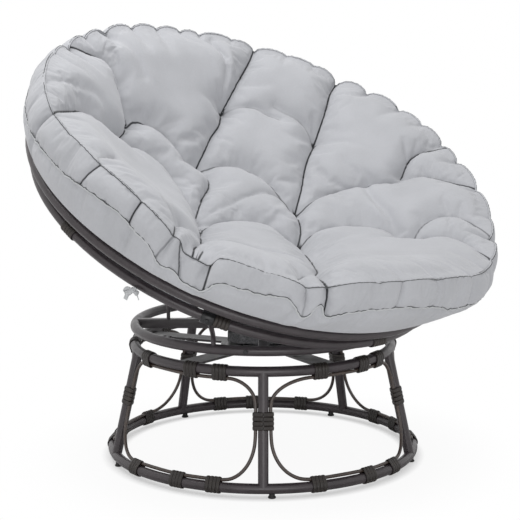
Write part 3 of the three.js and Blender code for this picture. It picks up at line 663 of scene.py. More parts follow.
foot = {"turns": (3, 3, 6, -1.5, 3), "sides": 24,
        "outline": ((0.0066, 0), (0.0075, 0.0003), (0.008, 0.0011), (0.008, 0.0028), (0.0074, 0.0036),
                    (0.0063, 0.0042), (0.006, 0.0052), (0.006, 0.0125))}
for i in range(legs["count"]):
    mesh = lathe(f"footStud{i + 1}", foot["outline"], foot["sides"])
    mesh.transform(Matrix.Translation(basePoint(bottomRing["radius"], legAngle(i) + foot["turns"][i], 0)))
    addPiece(f"footStud{i + 1}", mesh, "base", [f"base_foot_{i + 1}"], finish=rubber)


# The proportions of every screw
fastener = {"sides": 6, "underside": 0.94, "lowEdge": 0.0004, "crown": 0.88, "highEdge": 0.0005, "root": 0.86,
            "pitch": 0.001, "shankSides": 12, "washer": 1.25, "washerBulge": 1.3, "washerSides": 24}


# A threaded shank that hangs from a hexagon head, drawn with the head's underside at zero height
def screwMesh(name, screw):
    radius, height, shank = screw["head"], screw["height"], screw["shank"]
    washer, pitch = screw.get("washer", 0), fastener["pitch"]
    head = lathe("head", [(radius * fastener["underside"], 0), (radius, fastener["lowEdge"]),
                          (radius, height - fastener["highEdge"]), (radius * fastener["crown"], height)],
                 fastener["sides"])
    ridges = []
    for i in range(int(screw["length"] / pitch)):
        ridges += [(shank * fastener["root"], -i * pitch), (shank, -(i + 0.5) * pitch)]
    parts = [(head, Matrix.Translation((0, 0, washer))),
             (lathe("shank", ridges[::-1], fastener["shankSides"]), Matrix.Identity(4))]
    if washer:
        side, bulge = radius * fastener["washer"], radius * fastener["washerBulge"]
        rings = [(side, 0), (bulge, washer / 2), (side, washer)]
        parts.append((lathe("washer", rings, fastener["washerSides"]), Matrix.Identity(4)))
    return gathered(name, parts)


plateScrew = {"place": 0.070, "turns": (0, 90, 180, 270), "head": 0.0055, "height": 0.0032, "shank": 0.003,
              "length": 0.0165, "seat": 0.2476, "washer": 0.0004}
points = [basePoint(plateScrew["place"], turn, plateScrew["seat"]) for turn in plateScrew["turns"]]
holder = linked("plateScrewsPart", screwMesh("plateScrew", plateScrew))
mesh = shaped(scatterTree, meshFrom("plateScrews", points), Part=holder, Seed=4, Material=blackSteel)
bpy.data.objects.remove(holder)
addPiece("plateScrews", mesh, "base", [f"swivel_bolt_{i + 1}" for i in range(4)], finish=blackSteel,
         smooth=False)


def ringPlace(angle):
    middle = swivel + Vector((0, 0, seatRing["height"]))
    return Matrix.Translation(middle) @ Matrix.Rotation(math.radians(angle), 4, "Z")


crossTube = {"width": 0.020, "angles": (-45, 45), "bevel": 0.0022}
bars = []
for angle in crossTube["angles"]:
    bm = bmesh.new()
    size = (2 * seatRing["radius"], crossTube["width"], crossTube["width"], 1)
    bmesh.ops.create_cube(bm, size=1, matrix=ringPlace(angle) @ Matrix.Diagonal(size))
    bars.append((meshOf(bm, "bar"), Matrix.Identity(4)))
piece = addPiece("crossedTubes", gathered("crossedTubes", bars), "seat", ["seat_cross_tubes"],
                 finish=enamelPlate)
bevelled(piece, crossTube["bevel"], 3)

ringTab = {"angle": 170, "width": 0.060, "tipWidth": 0.016, "tipCut": (0.003, 0.004), "reach": 0.042,
           "thickness": 0.004, "hole": 0.0042, "holeSides": 20, "holeFromTip": 0.014, "bevel": 0.0006}


# A flat ear with a drilled hole, on the inner side of the seat ring
def tabMesh(angle):
    tip = seatRing["radius"] - ringTab["reach"]
    half, low = ringTab["tipWidth"] / 2, -ringTab["thickness"] / 2
    cutIn, cutAcross = ringTab["tipCut"]
    outline = [(seatRing["radius"], -ringTab["width"] / 2), (seatRing["radius"], ringTab["width"] / 2),
               (tip + cutIn, half), (tip, half - cutAcross), (tip, -half + cutAcross), (tip + cutIn, -half)]
    bm = bmesh.new()
    centre = Vector((tip + ringTab["holeFromTip"], 0, low))
    count = ringTab["holeSides"]
    loops = [[bm.verts.new((x, y, low)) for x, y in outline],
             [bm.verts.new(centre + polar(ringTab["hole"], -360 / count * j)) for j in range(count)]]
    edges = [bm.edges.new((loop[j], loop[(j + 1) % len(loop)])) for loop in loops for j in range(len(loop))]
    bmesh.ops.triangle_fill(bm, use_beauty=True, edges=edges)
    made = bmesh.ops.extrude_face_region(bm, geom=bm.faces[:])
    moved = [v for v in made["geom"] if isinstance(v, bmesh.types.BMVert)]
    bmesh.ops.translate(bm, vec=(0, 0, ringTab["thickness"]), verts=moved)
    bmesh.ops.recalc_face_normals(bm, faces=bm.faces[:])
    return meshOf(bm, "tab"), ringPlace(angle)


addRing("seatRingTube", basePoint, seatRing, "seat", "seat_ring")
tabs = gathered("seatRingTabs", [tabMesh(turned(ringTab["angle"])) for side, turned in bothSides])
bevelled(addPiece("seatRingTabs", tabs, "seat", finish=enamelPlate, smooth=False), ringTab["bevel"])

ringScrew = {"angle": -142, "sink": 0.0004, "head": 0.0055, "height": 0.003, "shank": 0.003, "length": 0.022}
for side, turned in bothSides:
    angle = turned(ringScrew["angle"])
    outwards, along = polar(1, angle), polar(1, angle + 90)
    mesh = screwMesh("ringScrew" + side, ringScrew)
    face = basePoint(seatRing["radius"] + tube["radius"] - ringScrew["sink"], angle, seatRing["height"])
    mesh.transform(axesMatrix(along, outwards.cross(along), outwards, face))
    addPiece("ringScrew" + side, mesh, "seat", [f"seat_ring_bolt_{side.lower()}"],
             finish=blackSteel, smooth=False)

strut = {"radius": 0.005, "sides": 16, "ringAngle": -156, "hoopAngle": 222, "bends": ((0.06, 0.026), (0.42, 0.054))}
clamp = {"half": 0.013, "wall": 0.0034, "lip": 0.0012, "gap": 0.0002, "sides": 28, "sink": 0.0005}
clampLug = {"head": 0.0048, "height": 0.003, "shank": 0.0024, "length": 0.010}
post = {"radius": 0.004, "sides": 14, "place": 0.146, "top": 0.406}
for side, turned in bothSides:
    hoopAngle = turned(strut["hoopAngle"])
    outwards, along = [(bowlTurn @ polar(1, angle)).normalized() for angle in (hoopAngle, hoopAngle + 90)]
    centre = ringPoint(bowlPoint, midHoop, hoopAngle)
    inner, outer, half = tube["radius"] + clamp["gap"], tube["radius"] + clamp["wall"], clamp["half"]
    sleeve = lathe("sleeve", [(inner, -half), (outer - clamp["lip"], -half), (outer, -half + clamp["lip"]),
                              (outer, half - clamp["lip"]), (outer - clamp["lip"], half), (inner, half)],
                   clamp["sides"])
    parts = [(sleeve, axesMatrix(outwards, along.cross(outwards), along, centre)),
             (screwMesh("lug", clampLug), axesMatrix(along, outwards.cross(along), outwards,
                                                     centre + outwards * (outer - clamp["sink"])))]
    addPiece("hoopClamp" + side, gathered("hoopClamp", parts), "seat",
             [f"strut_clamp_{side.lower()}"], finish=blackSteel)
    start = ringPoint(basePoint, seatRing, turned(strut["ringAngle"]))
    bends = [Vector((*start.lerp(centre, share).xy, start.z + rise)) for share, rise in strut["bends"]]
    addTube("bentStrut" + side, smoothPath([start, *bends, centre], 10), strut, enamel, "seat",
            [f"bowl_strut_{side.lower()}"])

for side, direction in (("Left", -1), ("Right", 1)):
    low = swivel + Vector((direction * post["place"], post["place"], seatRing["height"] + crossTube["width"] / 2))
    path = straightPath(low, Vector((*low.xy, post["top"])), 6)
    addTube("uprightRod" + side, path, post, enamel, "seat", [f"bowl_post_{side.lower()}"])

for name, finish in (("base_swivel_arms", enamelPlate), ("swivel_lower_plate", zinc), ("swivel_upper_plate", zinc),
                     ("swivel_ball_ring", zinc)):
    kept = frame["nodes"][name]
    kept.data.materials.clear()
    kept.data.materials.append(finish)
print("small parts made")


# Cushion: a boxed round pad, tufted into pillows and gathered along its edge.
# Places on it are a radius and an angle round the bowl, with 90 degrees up the back.

pad = {
    "meanRadius": 0.517, "seat": -0.072, "dish": 2.1, "slide": (0.028, -0.009), "lowerSlide": 0.8,
    "puff": 0.041, "edgeRoll": 0.115, "edgeFullness": 0.85, "backFlatness": 0.30, "backAngle": 60, "lean": 0.55,
    "bandBulge": 0.011, "seamDip": 0.004, "tuftDip": 0.016, "tuftReach": 0.020, "tuftPit": 0.006,
    "creaseReach": 0.0075, "creaseSide": 0.02, "topFade": 0.004, "bandFade": 0.003, "bandProfile": 0.75,
}
# Small relief in the cloth, each with the seed of its own random draws
gathering = {"depth": 0.001, "perDip": 0.22, "width": 0.006, "spread": 0.10, "skew": 14, "fading": 0.4, "seed": 31}
wrinkling = {"depth": 0.0018, "reach": 0.040, "inner": 0.010, "counts": (7, 8, 9, 11), "seed": 7}
unevenness = {"depth": 0.0008, "scale": 0.09, "seed": 3}
puckering = {"depth": 0.0013, "length": 0.0115, "wander": 2.5, "wanderScale": 0.06, "patchScale": 0.25,
             "reach": 0.016, "seed": 40}
pleating = {"width": 0.002, "perDepth": 0.25, "profile": 0.35, "deep": 0.015}
hanging = {"width": 0.009, "until": 0.14, "profile": 0.8}
sagging = {"depth": 0.009, "from": 0.22, "rise": 0.1, "until": 0.97, "fall": 0.15, "outwards": 0.5, "down": 0.85}
# How a gather pulls at the edge: the pinch's width in degrees at the upper seam, how it widens and fades inwards,
# and what share of its dip draws each seam and the band in
pull = {"pinch": 2.0, "heightPinch": 2.4, "widening": 60, "fading": 0.45, "upperSeam": 0.45, "lowerSeam": 0.35,
        "band": 0.20, "earHeight": 0.004, "earReach": 0.002}
# The upper seam round the pad: (angle, height over the rim's plane) and (angle, radius)
seamHeights = (
    (0, 0.149), (20, 0.148), (45, 0.135), (70, 0.133), (95, 0.137), (120, 0.133), (150, 0.138), (165, 0.141),
    (180, 0.150), (195, 0.148), (206, 0.122), (214, 0.118), (222, 0.121), (230, 0.125), (236, 0.128), (243, 0.147),
    (254, 0.166), (264, 0.171), (274, 0.160), (283, 0.143), (292, 0.131), (302, 0.126), (315, 0.124), (338, 0.135),
)
seamRadii = ((0, 0.517), (90, 0.517), (180, 0.517), (260, 0.517), (280, 0.515), (292, 0.517), (306, 0.513),
             (325, 0.507), (340, 0.512))
# The lower seam, in the same way
lowerHeights = (
    (0, 0.094), (20, 0.096), (45, 0.080), (70, 0.077), (95, 0.080), (120, 0.076), (147, 0.067), (156, 0.069),
    (160.5, 0.066), (165, 0.076), (174, 0.084), (183, 0.094), (187.5, 0.0985), (194, 0.101), (196.5, 0.095),
    (198, 0.090), (201, 0.084), (202.5, 0.079), (204, 0.067), (205.5, 0.053), (208.5, 0.051), (210, 0.046),
    (211.5, 0.037), (215.8, 0.036), (217.5, 0.062), (219, 0.076), (222, 0.080), (228, 0.085), (231, 0.092),
    (232.5, 0.094), (234, 0.084), (235.5, 0.071), (237, 0.057), (238.2, 0.060), (239.5, 0.096), (240.5, 0.096),
    (241.6, 0.068), (243, 0.076), (246, 0.090), (250.5, 0.101), (255, 0.107), (260, 0.112), (264, 0.109),
    (269, 0.107), (273, 0.096), (277.5, 0.091), (283, 0.082), (291, 0.070), (300, 0.062), (312, 0.064),
    (325, 0.078), (340, 0.090),
)
lowerRadii = ((0, 0.529), (90, 0.531), (258, 0.531), (274, 0.537), (290, 0.543), (304, 0.535), (320, 0.524),
              (340, 0.526))
# Where the edge is gathered: angle, how far the seam dips, and how far the gather runs in
gathers = (
    (3, 0.010, 0.07), (11, 0.014, 0.09), (21.3, 0.019, 0.10), (30.3, 0.030, 0.16), (38, 0.006, 0.07),
    (46, 0.006, 0.08), (55, 0.020, 0.16), (62, 0.007, 0.06), (71.5, 0.012, 0.12), (77.5, 0.012, 0.08),
    (85, 0.013, 0.11), (93.6, 0.013, 0.09), (103.5, 0.016, 0.14), (112, 0.014, 0.10), (121, 0.022, 0.16),
    (130, 0.005, 0.07), (141, 0.004, 0.07), (152, 0.005, 0.08), (160.6, 0.018, 0.14), (172, 0.003, 0.04),
    (183.8, 0.006, 0.05), (196.4, 0.008, 0.06), (205.6, 0.020, 0.09), (215.2, 0.008, 0.08), (226, 0.004, 0.05),
    (235.6, 0.020, 0.09), (239.8, 0.016, 0.12), (250, 0.006, 0.05), (256.3, 0.008, 0.05), (266.2, 0.008, 0.07),
    (281, 0.006, 0.06), (291, 0.006, 0.07), (299, 0.010, 0.08), (312, 0.022, 0.12), (321, 0.007, 0.07),
    (334, 0.012, 0.10), (346.5, 0.014, 0.10), (354, 0.014, 0.12),
)
# A wide tuck in the edge: angle, half its width, how far the seam drops, and how far it runs in
tuck = (211.7, 3.9, 0.038, 0.10)
# Pleats sewn across the band: angle at the upper seam, at the lower seam, and depth
pleats = (
    (121, 121, 0.009), (160.6, 160.0, 0.016), (183.8, 182.2, 0.012), (196.4, 196.8, 0.013), (205.6, 204.7, 0.009),
    (207.4, 210.4, 0.011), (215.0, 216.3, 0.020), (235.5, 237.2, 0.008), (239.8, 241.4, 0.019),
    (256.3, 256.8, 0.007), (266.2, 267.4, 0.004), (312, 312, 0.008), (346.5, 346.5, 0.007), (12, 12, 0.006),
    (30.3, 30.3, 0.009), (55, 55, 0.009), (77.5, 77.5, 0.006), (93.6, 93.6, 0.007), (103.5, 103.5, 0.006),
)
# Folds that hang down from the lower seam: angle, and depth
hangingFolds = (
    (160, 0.004), (184.5, 0.004), (197.6, 0.010), (211, 0.004), (236, 0.007), (252, 0.003), (312, 0.004),
    (346, 0.003), (30, 0.003), (55, 0.003), (103, 0.003), (121, 0.004),
)
tufts = {
    "backRight": (0.347, 60.4), "backInner": (0.173, 85.6), "leftInner": (0.122, 180), "right": (0.357, 21.7),
    "rightInner": (0.166, -8.3), "frontInner": (0.158, -67), "backLeft": (0.314, 114), "leftUpper": (0.307, 132.4),
    "rightFront": (0.421, -11), "frontRight": (0.378, -47.5),
}
# Sewn creases between tufts and to the edge: how deep, how wide the roll beside it, and the places on its way
creases = (
    (1.00, 0.075, ("backRight", (0.425, 55.6), (0.491, 52.7), (0.517, 55))),
    (0.95, 0.070, ("backRight", (0.302, 62.6), (0.258, 68.3), (0.212, 75.5), "backInner")),
    (0.85, 0.050, ("backInner", (0.146, 82), (0.103, 93), (0.085, 128), "leftInner")),
    (1.00, 0.075, ("right", (0.444, 25.8), (0.490, 27.6), (0.517, 30.3))),
    (0.95, 0.070, ("right", (0.290, 17.6), (0.224, 7.9), "rightInner")),
    (0.50, 0.050, ("backRight", (0.355, 50), (0.348, 38))),
    (0.50, 0.050, ((0.374, 41.5), (0.371, 30), "right")),
    (0.75, 0.055, ("backInner", (0.176, 52), (0.169, 29), (0.156, 4), "rightInner")),
    (0.40, 0.040, ("leftInner", (0.081, 174), (0.028, 151), (0.055, 34), (0.103, 20), (0.146, 9))),
    (0.90, 0.050, ("rightInner", (0.150, -38), "frontInner")),
    (0.80, 0.065, ("rightInner", (0.246, -6), (0.338, -9.4), (0.378, -12), (0.448, -15.3), (0.509, -22.7),
                   (0.517, -26))),
    (0.85, 0.050, ("rightFront", (0.467, -6.6), (0.517, -8), (0.517, -11))),
    (0.80, 0.065, ("frontInner", (0.172, -45.6), (0.205, -38.7), (0.248, -36.3), (0.330, -41), "frontRight",
                   (0.464, -50.3), (0.500, -55), (0.517, -61))),
    (0.65, 0.050, ("frontRight", (0.417, -38.4), (0.468, -37.9), (0.517, -48))),
    (0.90, 0.075, ("frontInner", (0.192, -78), (0.300, -100), (0.420, -114.5), (0.517, -120.2))),
    (0.60, 0.040, ((0.462, -120.5), (0.490, -123), (0.517, -124.4))),
    (0.80, 0.065, ("frontInner", (0.123, -62.4), (0.0865, -58.7), (0.054, -68), (0.038, -128), (0.071, -159),
                   (0.120, -166), (0.185, -158))),
    (1.00, 0.070, ("backLeft", (0.366, 110.3), (0.394, 108.2), (0.445, 108.9), (0.468, 113.7), (0.517, 121))),
    (0.90, 0.050, ("backLeft", (0.303, 123.5), "leftUpper")),
    (0.90, 0.070, ("backLeft", (0.311, 108.8), (0.256, 99.3), (0.181, 93.3), "backInner")),
    (0.90, 0.070, ("leftUpper", (0.253, 126.3), (0.182, 126), (0.153, 134), (0.133, 149), "leftInner")),
    (0.95, 0.070, ("leftUpper", (0.340, 138.2), (0.391, 140.1), (0.424, 147.8), (0.517, 161))),
    (0.50, 0.050, ((0.430, 180), (0.480, 182.5), (0.517, 183.8))),
    (0.80, 0.060, ((0.330, 203), (0.400, 204), (0.517, 205.8))),
    (0.95, 0.075, ("leftInner", (0.178, 201), (0.245, 208), (0.360, 212.8), (0.440, 212.4), (0.517, 211.3))),
    (0.80, 0.040, ((0.455, 214.8), (0.490, 215.2), (0.517, 215.0))),
)
# Loose folds in the cloth: depth, width and the places on the way
folds = (
    (0.008, 0.014, ((0.487, 146), (0.434, 137), (0.392, 131), (0.360, 131), (0.345, 134))),
    (0.007, 0.012, ((0.334, -10), (0.322, -22), (0.335, -31), (0.357, -42))),
    (0.007, 0.012, ((0.500, 102), (0.465, 99), (0.430, 97.5), (0.380, 98))),
    (0.007, 0.012, ((0.496, 65.1), (0.465, 62.8), (0.425, 61.8), (0.370, 61.5))),
)
meanRadius = pad["meanRadius"]
slide = np.array(pad["slide"])


# Smoothed value round the circle from (angle, value) pairs, in steps of half a degree
def roundTable(pairs, blur):
    angles, values = np.array(pairs, float).T
    fine = np.arange(720) / 2
    line = np.interp(fine, np.concatenate((angles - 360, angles, angles + 360)), np.tile(values, 3))
    weights = np.exp(-(np.arange(-60, 61) / 2 / blur) ** 2)
    smooth = sum(w * np.roll(line, k) for w, k in zip(weights, range(-60, 61))) / weights.sum()
    return lambda angle: np.interp(np.mod(angle, 360), np.arange(721) / 2, np.append(smooth, smooth[0]))


seamBase = roundTable(seamHeights, 5)
seamReach = roundTable(seamRadii, 8)
lowerSeam = roundTable(lowerHeights, 0.7)
lowerReach = roundTable(lowerRadii, 8)


def turnBetween(angle, other):
    return np.mod(angle - other + 180, 360) - 180


# How far the seam dips at an angle, as sharp pinches between rounded ears that fade in from the edge
def seamDip(angle, fromEdge=0.0, pinch=pull["pinch"]):
    sharp = sum(dip * np.exp(-np.abs(turnBetween(angle, at)) / (pinch + pull["widening"] * fromEdge))
                * np.exp(-fromEdge / (pull["fading"] * reach)) for at, dip, reach in gathers)
    at, half, dip, reach = tuck
    wide = 1 + (np.abs(turnBetween(angle, at)) / half) ** 8
    return sharp + dip / wide * np.exp(-fromEdge / (pull["fading"] * reach))


def seamHeight(angle, fromEdge=0.0):
    return seamBase(angle) - seamDip(angle, fromEdge, pull["heightPinch"]) + pull["earHeight"]


def seamRadius(angle, fromEdge=0.0):
    return seamReach(angle) - pull["upperSeam"] * seamDip(angle, fromEdge) + pull["earReach"]


def lowerRadius(angle):
    return lowerReach(angle) - pull["lowerSeam"] * seamDip(angle)


# A radius and an angle, with a share of the pad's slide off the bowl's axis
def slidPlace(radius, angle, share):
    turn = np.radians(angle)
    return radius * np.cos(turn) + slide[0] * share, radius * np.sin(turn) + slide[1] * share


# Tufts keep their place, and the ends of creases move with the edge
def flat(place):
    radius, angle = tufts[place] if isinstance(place, str) else place
    moved = np.array(polar(radius, angle).xy)
    return moved + slide if radius / meanRadius >= 0.99 else moved


def creaseLine(places):
    return np.array([tuple(p.xy) for p in smoothPath([(*flat(p), 0) for p in places], 6)])


creaseLines = [(depth, roll, creaseLine(places)) for depth, roll, places in creases]
foldLines = [(depth, width, creaseLine(places)) for depth, width, places in folds]
tuftPoints = [flat(name) for name in tufts]


# Distance to a line, above zero on its left and below zero on its right
def sidedDistance(line, x, y):
    best = np.full(x.shape, 9.0)
    for (ax, ay), (bx, by) in zip(line, line[1:]):
        dx, dy = bx - ax, by - ay
        share = np.clip(((x - ax) * dx + (y - ay) * dy) / (dx * dx + dy * dy), 0, 1)
        away = np.hypot(x - ax - share * dx, y - ay - share * dy)
        side = np.where((y - ay) * dx - (x - ax) * dy < 0, -1.0, 1.0)
        best = np.where(away < np.abs(best), side * away, best)
    return best


def rolled(distance, width):
    return np.sqrt(np.maximum(0, 1 - (1 - np.minimum(distance / width, 1)) ** 2))


def bell(distance, width):
    return np.exp(-(distance / width) ** 2)


# Smooth seeded noise over the plane, from ten waves
def softNoise(x, y, scale, seed):
    chance = random.Random(seed)
    total = np.zeros_like(x)
    for _ in range(10):
        turn = chance.uniform(0, 2 * math.pi)
        rate = chance.uniform(0.6, 1.7) / scale * 2 * math.pi
        total = total + np.sin((x * math.cos(turn) + y * math.sin(turn)) * rate + chance.uniform(0, 2 * math.pi))
    return total / 10 ** 0.5 / 1.2


# Gathers that run in from the edge like spread fingers
def gatherDepth(angle, fromEdge):
    chance = random.Random(gathering["seed"])
    width = gathering["width"] + gathering["spread"] * fromEdge
    total = np.zeros_like(angle)
    for at, dip, reach in gathers:
        skew = chance.uniform(-gathering["skew"], gathering["skew"])
        offset = np.radians(turnBetween(angle, at + skew * fromEdge)) * (meanRadius - fromEdge)
        total = total + ((gathering["depth"] + gathering["perDip"] * dip) * bell(offset, width)
                         * np.exp(-fromEdge / (gathering["fading"] * reach)))
    return total


# Small creases that fan out round each tuft
def tuftWrinkles(x, y):
    chance = random.Random(wrinkling["seed"])
    total = np.zeros_like(x)
    for px, py in tuftPoints:
        distance = np.hypot(x - px, y - py)
        turn = np.arctan2(y - py, x - px)
        count = chance.choice(wrinkling["counts"])
        wave = np.cos(count * turn + chance.uniform(0, 6) + 1.2 * np.sin(3 * turn + chance.uniform(0, 6)))
        total = total + wave * np.exp(-distance / wrinkling["reach"]) * np.minimum(distance / wrinkling["inner"], 1)
    return total


# Adds a crease to the depth and the nearest distance found so far
def creasedBy(crease, nearest, sided, depth):
    distance = np.abs(sided)
    return (np.maximum(crease, depth * bell(distance, pad["creaseReach"])),
            np.where(distance < np.abs(nearest), sided, nearest))


def besideCrease(distance):
    return np.clip(distance, -pad["creaseSide"], pad["creaseSide"])


# Each of these gives x, y, height, the crease strength and the distance beside the crease. These two also mask the
# painted shade that the cloth material draws along creases, pleats, tuft pits and seams.
# The top runs from its middle at t = 0 to the upper seam at t = 1.
def cushionTop(t, angle):
    within = (1 - t) * meanRadius
    x, y = slidPlace(t * seamRadius(angle, within), angle, t ** 3)
    turn = np.radians(angle)
    depth = seamHeight(angle, within) - pad["seat"]
    height = pad["seat"] + depth * t ** pad["dish"]
    slope = depth * pad["dish"] * t ** (pad["dish"] - 1) / meanRadius
    fromEdge = (1 - t) * seamRadius(angle) * np.sqrt(1 + slope ** 2)
    towardsBack = 0.5 + 0.5 * np.cos(turn - math.radians(pad["backAngle"]))
    fullness = pad["edgeFullness"] + pad["backFlatness"] * towardsBack ** 2
    swell = np.sin(math.pi / 2 * np.minimum(fromEdge / pad["edgeRoll"], 1)) ** fullness
    crease = np.zeros_like(t)
    nearest = np.full_like(t, 1.0)
    for depth, roll, line in creaseLines:
        sided = sidedDistance(line, x, y)
        swell = swell * (1 - depth * (1 - rolled(np.abs(sided), roll)))
        crease, nearest = creasedBy(crease, nearest, sided, depth)
    puff = pad["puff"] * swell
    for depth, width, line in foldLines:
        puff = puff - depth * bell(sidedDistance(line, x, y), width)
    for px, py in tuftPoints:
        distance = np.hypot(x - px, y - py)
        puff = puff - pad["tuftDip"] * np.exp(-distance / pad["tuftReach"])
        crease = np.maximum(crease, bell(distance, pad["tuftPit"]))
    puff = puff - gatherDepth(angle, fromEdge) * np.minimum(fromEdge / pad["topFade"], 1)
    puff = puff + wrinkling["depth"] * tuftWrinkles(x, y)
    puff = puff + unevenness["depth"] * softNoise(x, y, unevenness["scale"], unevenness["seed"]) * swell
    lean = pad["lean"] * slope / np.sqrt(1 + slope ** 2)
    return (x - puff * lean * np.cos(turn), y - puff * lean * np.sin(turn), height + puff * np.sqrt(1 - lean ** 2),
            crease, besideCrease(nearest))


# Fine puckers along a seam
def puckers(angle, fromSeam):
    along = np.radians(angle) * meanRadius
    wander = puckering["wander"] * softNoise(along, along * 0, puckering["wanderScale"], puckering["seed"])
    wave = np.sin(along / puckering["length"] * 2 * math.pi + wander)
    patch = np.clip(0.5 + softNoise(along, along * 0, puckering["patchScale"], puckering["seed"] + 1), 0, 1)
    return wave * patch * np.exp(-np.abs(fromSeam) / puckering["reach"])


# The band, from the upper seam at s = 0 to the lower seam at s = 1
def cushionBand(s, angle):
    top, bottom = seamHeight(angle), lowerSeam(angle)
    topRadius, lowRadius = seamRadius(angle), lowerRadius(angle)
    bulge = (pad["bandBulge"] - pull["band"] * seamDip(angle)) * np.sin(np.pi * s) ** pad["bandProfile"]
    fromSeam = np.minimum(s, 1 - s) * (top - bottom)
    radius = topRadius + (lowRadius - topRadius) * s + bulge
    radius = radius + puckering["depth"] * puckers(angle, fromSeam) * np.minimum(fromSeam / pad["bandFade"], 1)
    crease = np.zeros_like(s)
    nearest = np.full_like(s, 1.0)
    for upper, lower, depth in pleats:
        sided = np.radians(turnBetween(angle, upper + (lower - upper) * s)) * lowRadius
        width = pleating["perDepth"] * depth + pleating["width"]
        radius = radius - depth * np.exp(-np.abs(sided) / width) * np.sin(np.pi * s) ** pleating["profile"]
        # The pleat's crease strength, full from pleating["deep"] on, holds the band and sets how dark its line of
        # painted shade is
        crease, nearest = creasedBy(crease, nearest, sided, min(1, depth / pleating["deep"]))
    return (*slidPlace(radius, angle, 1 - (1 - pad["lowerSlide"]) * s), top + (bottom - top) * s, crease,
            besideCrease(nearest))


# A seam is pulled in between the two cloths that it joins. It is the upper one at s = 0, and the lower one at s = 1.
def seamRow(s, angle):
    reach, level, share = ((seamRadius, seamHeight, 1.0) if s[0] < 0.5
                           else (lowerRadius, lowerSeam, pad["lowerSlide"]))
    # A full crease right on the line: the seam is held fast and painted dark, as shade in its groove
    full = np.ones_like(s)
    return (*slidPlace(reach(angle) - pad["seamDip"], angle, share), level(angle), full, full - 1)


# From the lower seam down over the rim and in under the bowl:
# share of the way, radius, height, share of the slide, share of the seam's waves
undersideStops = np.array((
    (0.0, 0.531, 0.080, 0.80, 1.0), (0.05, 0.527, 0.060, 0.62, 0.80), (0.10, 0.514, 0.037, 0.40, 0.35),
    (0.14, 0.496, 0.0165, 0.14, 0.0), (0.17, 0.480, 0.0135, 0.0, 0.0), (0.20, 0.463, 0.0005, 0.0, 0.0),
    (0.26, 0.4305, -0.0335, 0.0, 0.0), (0.38, 0.3755, -0.0745, 0.0, 0.0), (0.54, 0.297, -0.1195, 0.0, 0.0),
    (0.72, 0.198, -0.1573, 0.0, 0.0), (0.82, 0.145, -0.1730, 0.0, 0.0), (0.90, 0.105, -0.1800, 0.0, 0.0),
    (1.0, 0.0, -0.1800, 0.0, 0.0),
)).T


def cushionUnderside(s, angle):
    radius, height, slid, waved = [np.interp(s, undersideStops[0], line) for line in undersideStops[1:]]
    radius = radius + waved * (lowerRadius(angle) - undersideStops[1][0])
    height = height + waved * (lowerSeam(angle) - undersideStops[2][0])
    folded = np.zeros_like(s)
    for at, depth in hangingFolds:
        away = np.radians(turnBetween(angle, at)) * meanRadius
        down = np.sin(np.pi * np.clip(s / hanging["until"], 0, 1))
        fold = bell(away, hanging["width"]) * down ** hanging["profile"]
        radius = radius - depth * fold
        folded = np.maximum(folded, fold)
    between = 0.5 - 0.5 * np.cos(np.radians(ribs["count"] * angle))
    inBowl = (np.clip((s - sagging["from"]) / sagging["rise"], 0, 1)
              * np.clip((sagging["until"] - s) / sagging["fall"], 0, 1))
    sag = sagging["depth"] * between * inBowl
    return (*slidPlace(radius + sag * sagging["outwards"], angle, slid), height - sag * sagging["down"], folded,
            np.ones_like(s))


# Rings of points from the middle of the top round the edge to the middle underneath.
# Each ring holds twice as many points as one well inside it, so that the faces stay even.
def sectorsAt(radius):
    for limit, sectors in ((0.022, 24), (0.055, 48), (0.12, 96), (0.25, 192), (0.43, 384)):
        if radius < limit:
            return sectors
    return 768


# The rows lie closer together near the seams, where the cloth turns sharply
def ringRows():
    inner = np.arange(0.010, 0.430, 0.0062) / meanRadius
    outer = np.linspace(0.432, meanRadius - 0.0075, 24) / meanRadius
    last = 1 - np.array((0.0045, 0.0025, 0.001)) / meanRadius
    rows = [(cushionTop, t, sectorsAt(t * meanRadius)) for t in np.concatenate((inner, outer, last))]
    rows.append((seamRow, 0.0, 768))
    for s in (0.02, 0.045, 0.08, 0.13, 0.2, 0.28, 0.36, 0.44, 0.52, 0.6, 0.68, 0.76, 0.83, 0.89, 0.935, 0.965, 0.985):
        rows.append((cushionBand, s, 768))
    rows.append((seamRow, 1.0, 768))
    for s in np.concatenate(((0.004, 0.01, 0.02, 0.035), np.linspace(0.05, 0.97, 44))):
        sectors = sectorsAt(np.interp(s, undersideStops[0], undersideStops[1]))
        rows.append((cushionUnderside, s, sectors if s < 0.15 else min(sectors, 384)))
    return rows


def joinRings(inner, outer):
    small, large = (inner, outer) if len(inner) <= len(outer) else (outer, inner)
    faces = []
    for i in range(len(small)):
        a, b = small[i], small[(i + 1) % len(small)]
        if len(large) == len(small):
            face = [(a, large[i], large[(i + 1) % len(large)], b)]
        else:
            c, d, e = large[2 * i], large[2 * i + 1], large[(2 * i + 2) % len(large)]
            face = [(a, c, d), (a, d, b), (b, d, e)]
        faces += face if len(inner) <= len(outer) else [f[::-1] for f in face]
    return faces


# How firmly the sewing and the bowl hold each point while the filling swells the cloth
def heldAt(make, value, crease):
    if make is cushionUnderside:
        return np.maximum(crease, min(1.0, 0.15 + 6 * value))
    if make is cushionBand:
        return np.clip(1.6 * crease - 0.5, 0, 1)
    return np.clip(np.maximum(2.2 * crease - 0.9, 12 * (value - 0.95)), 0, 1)


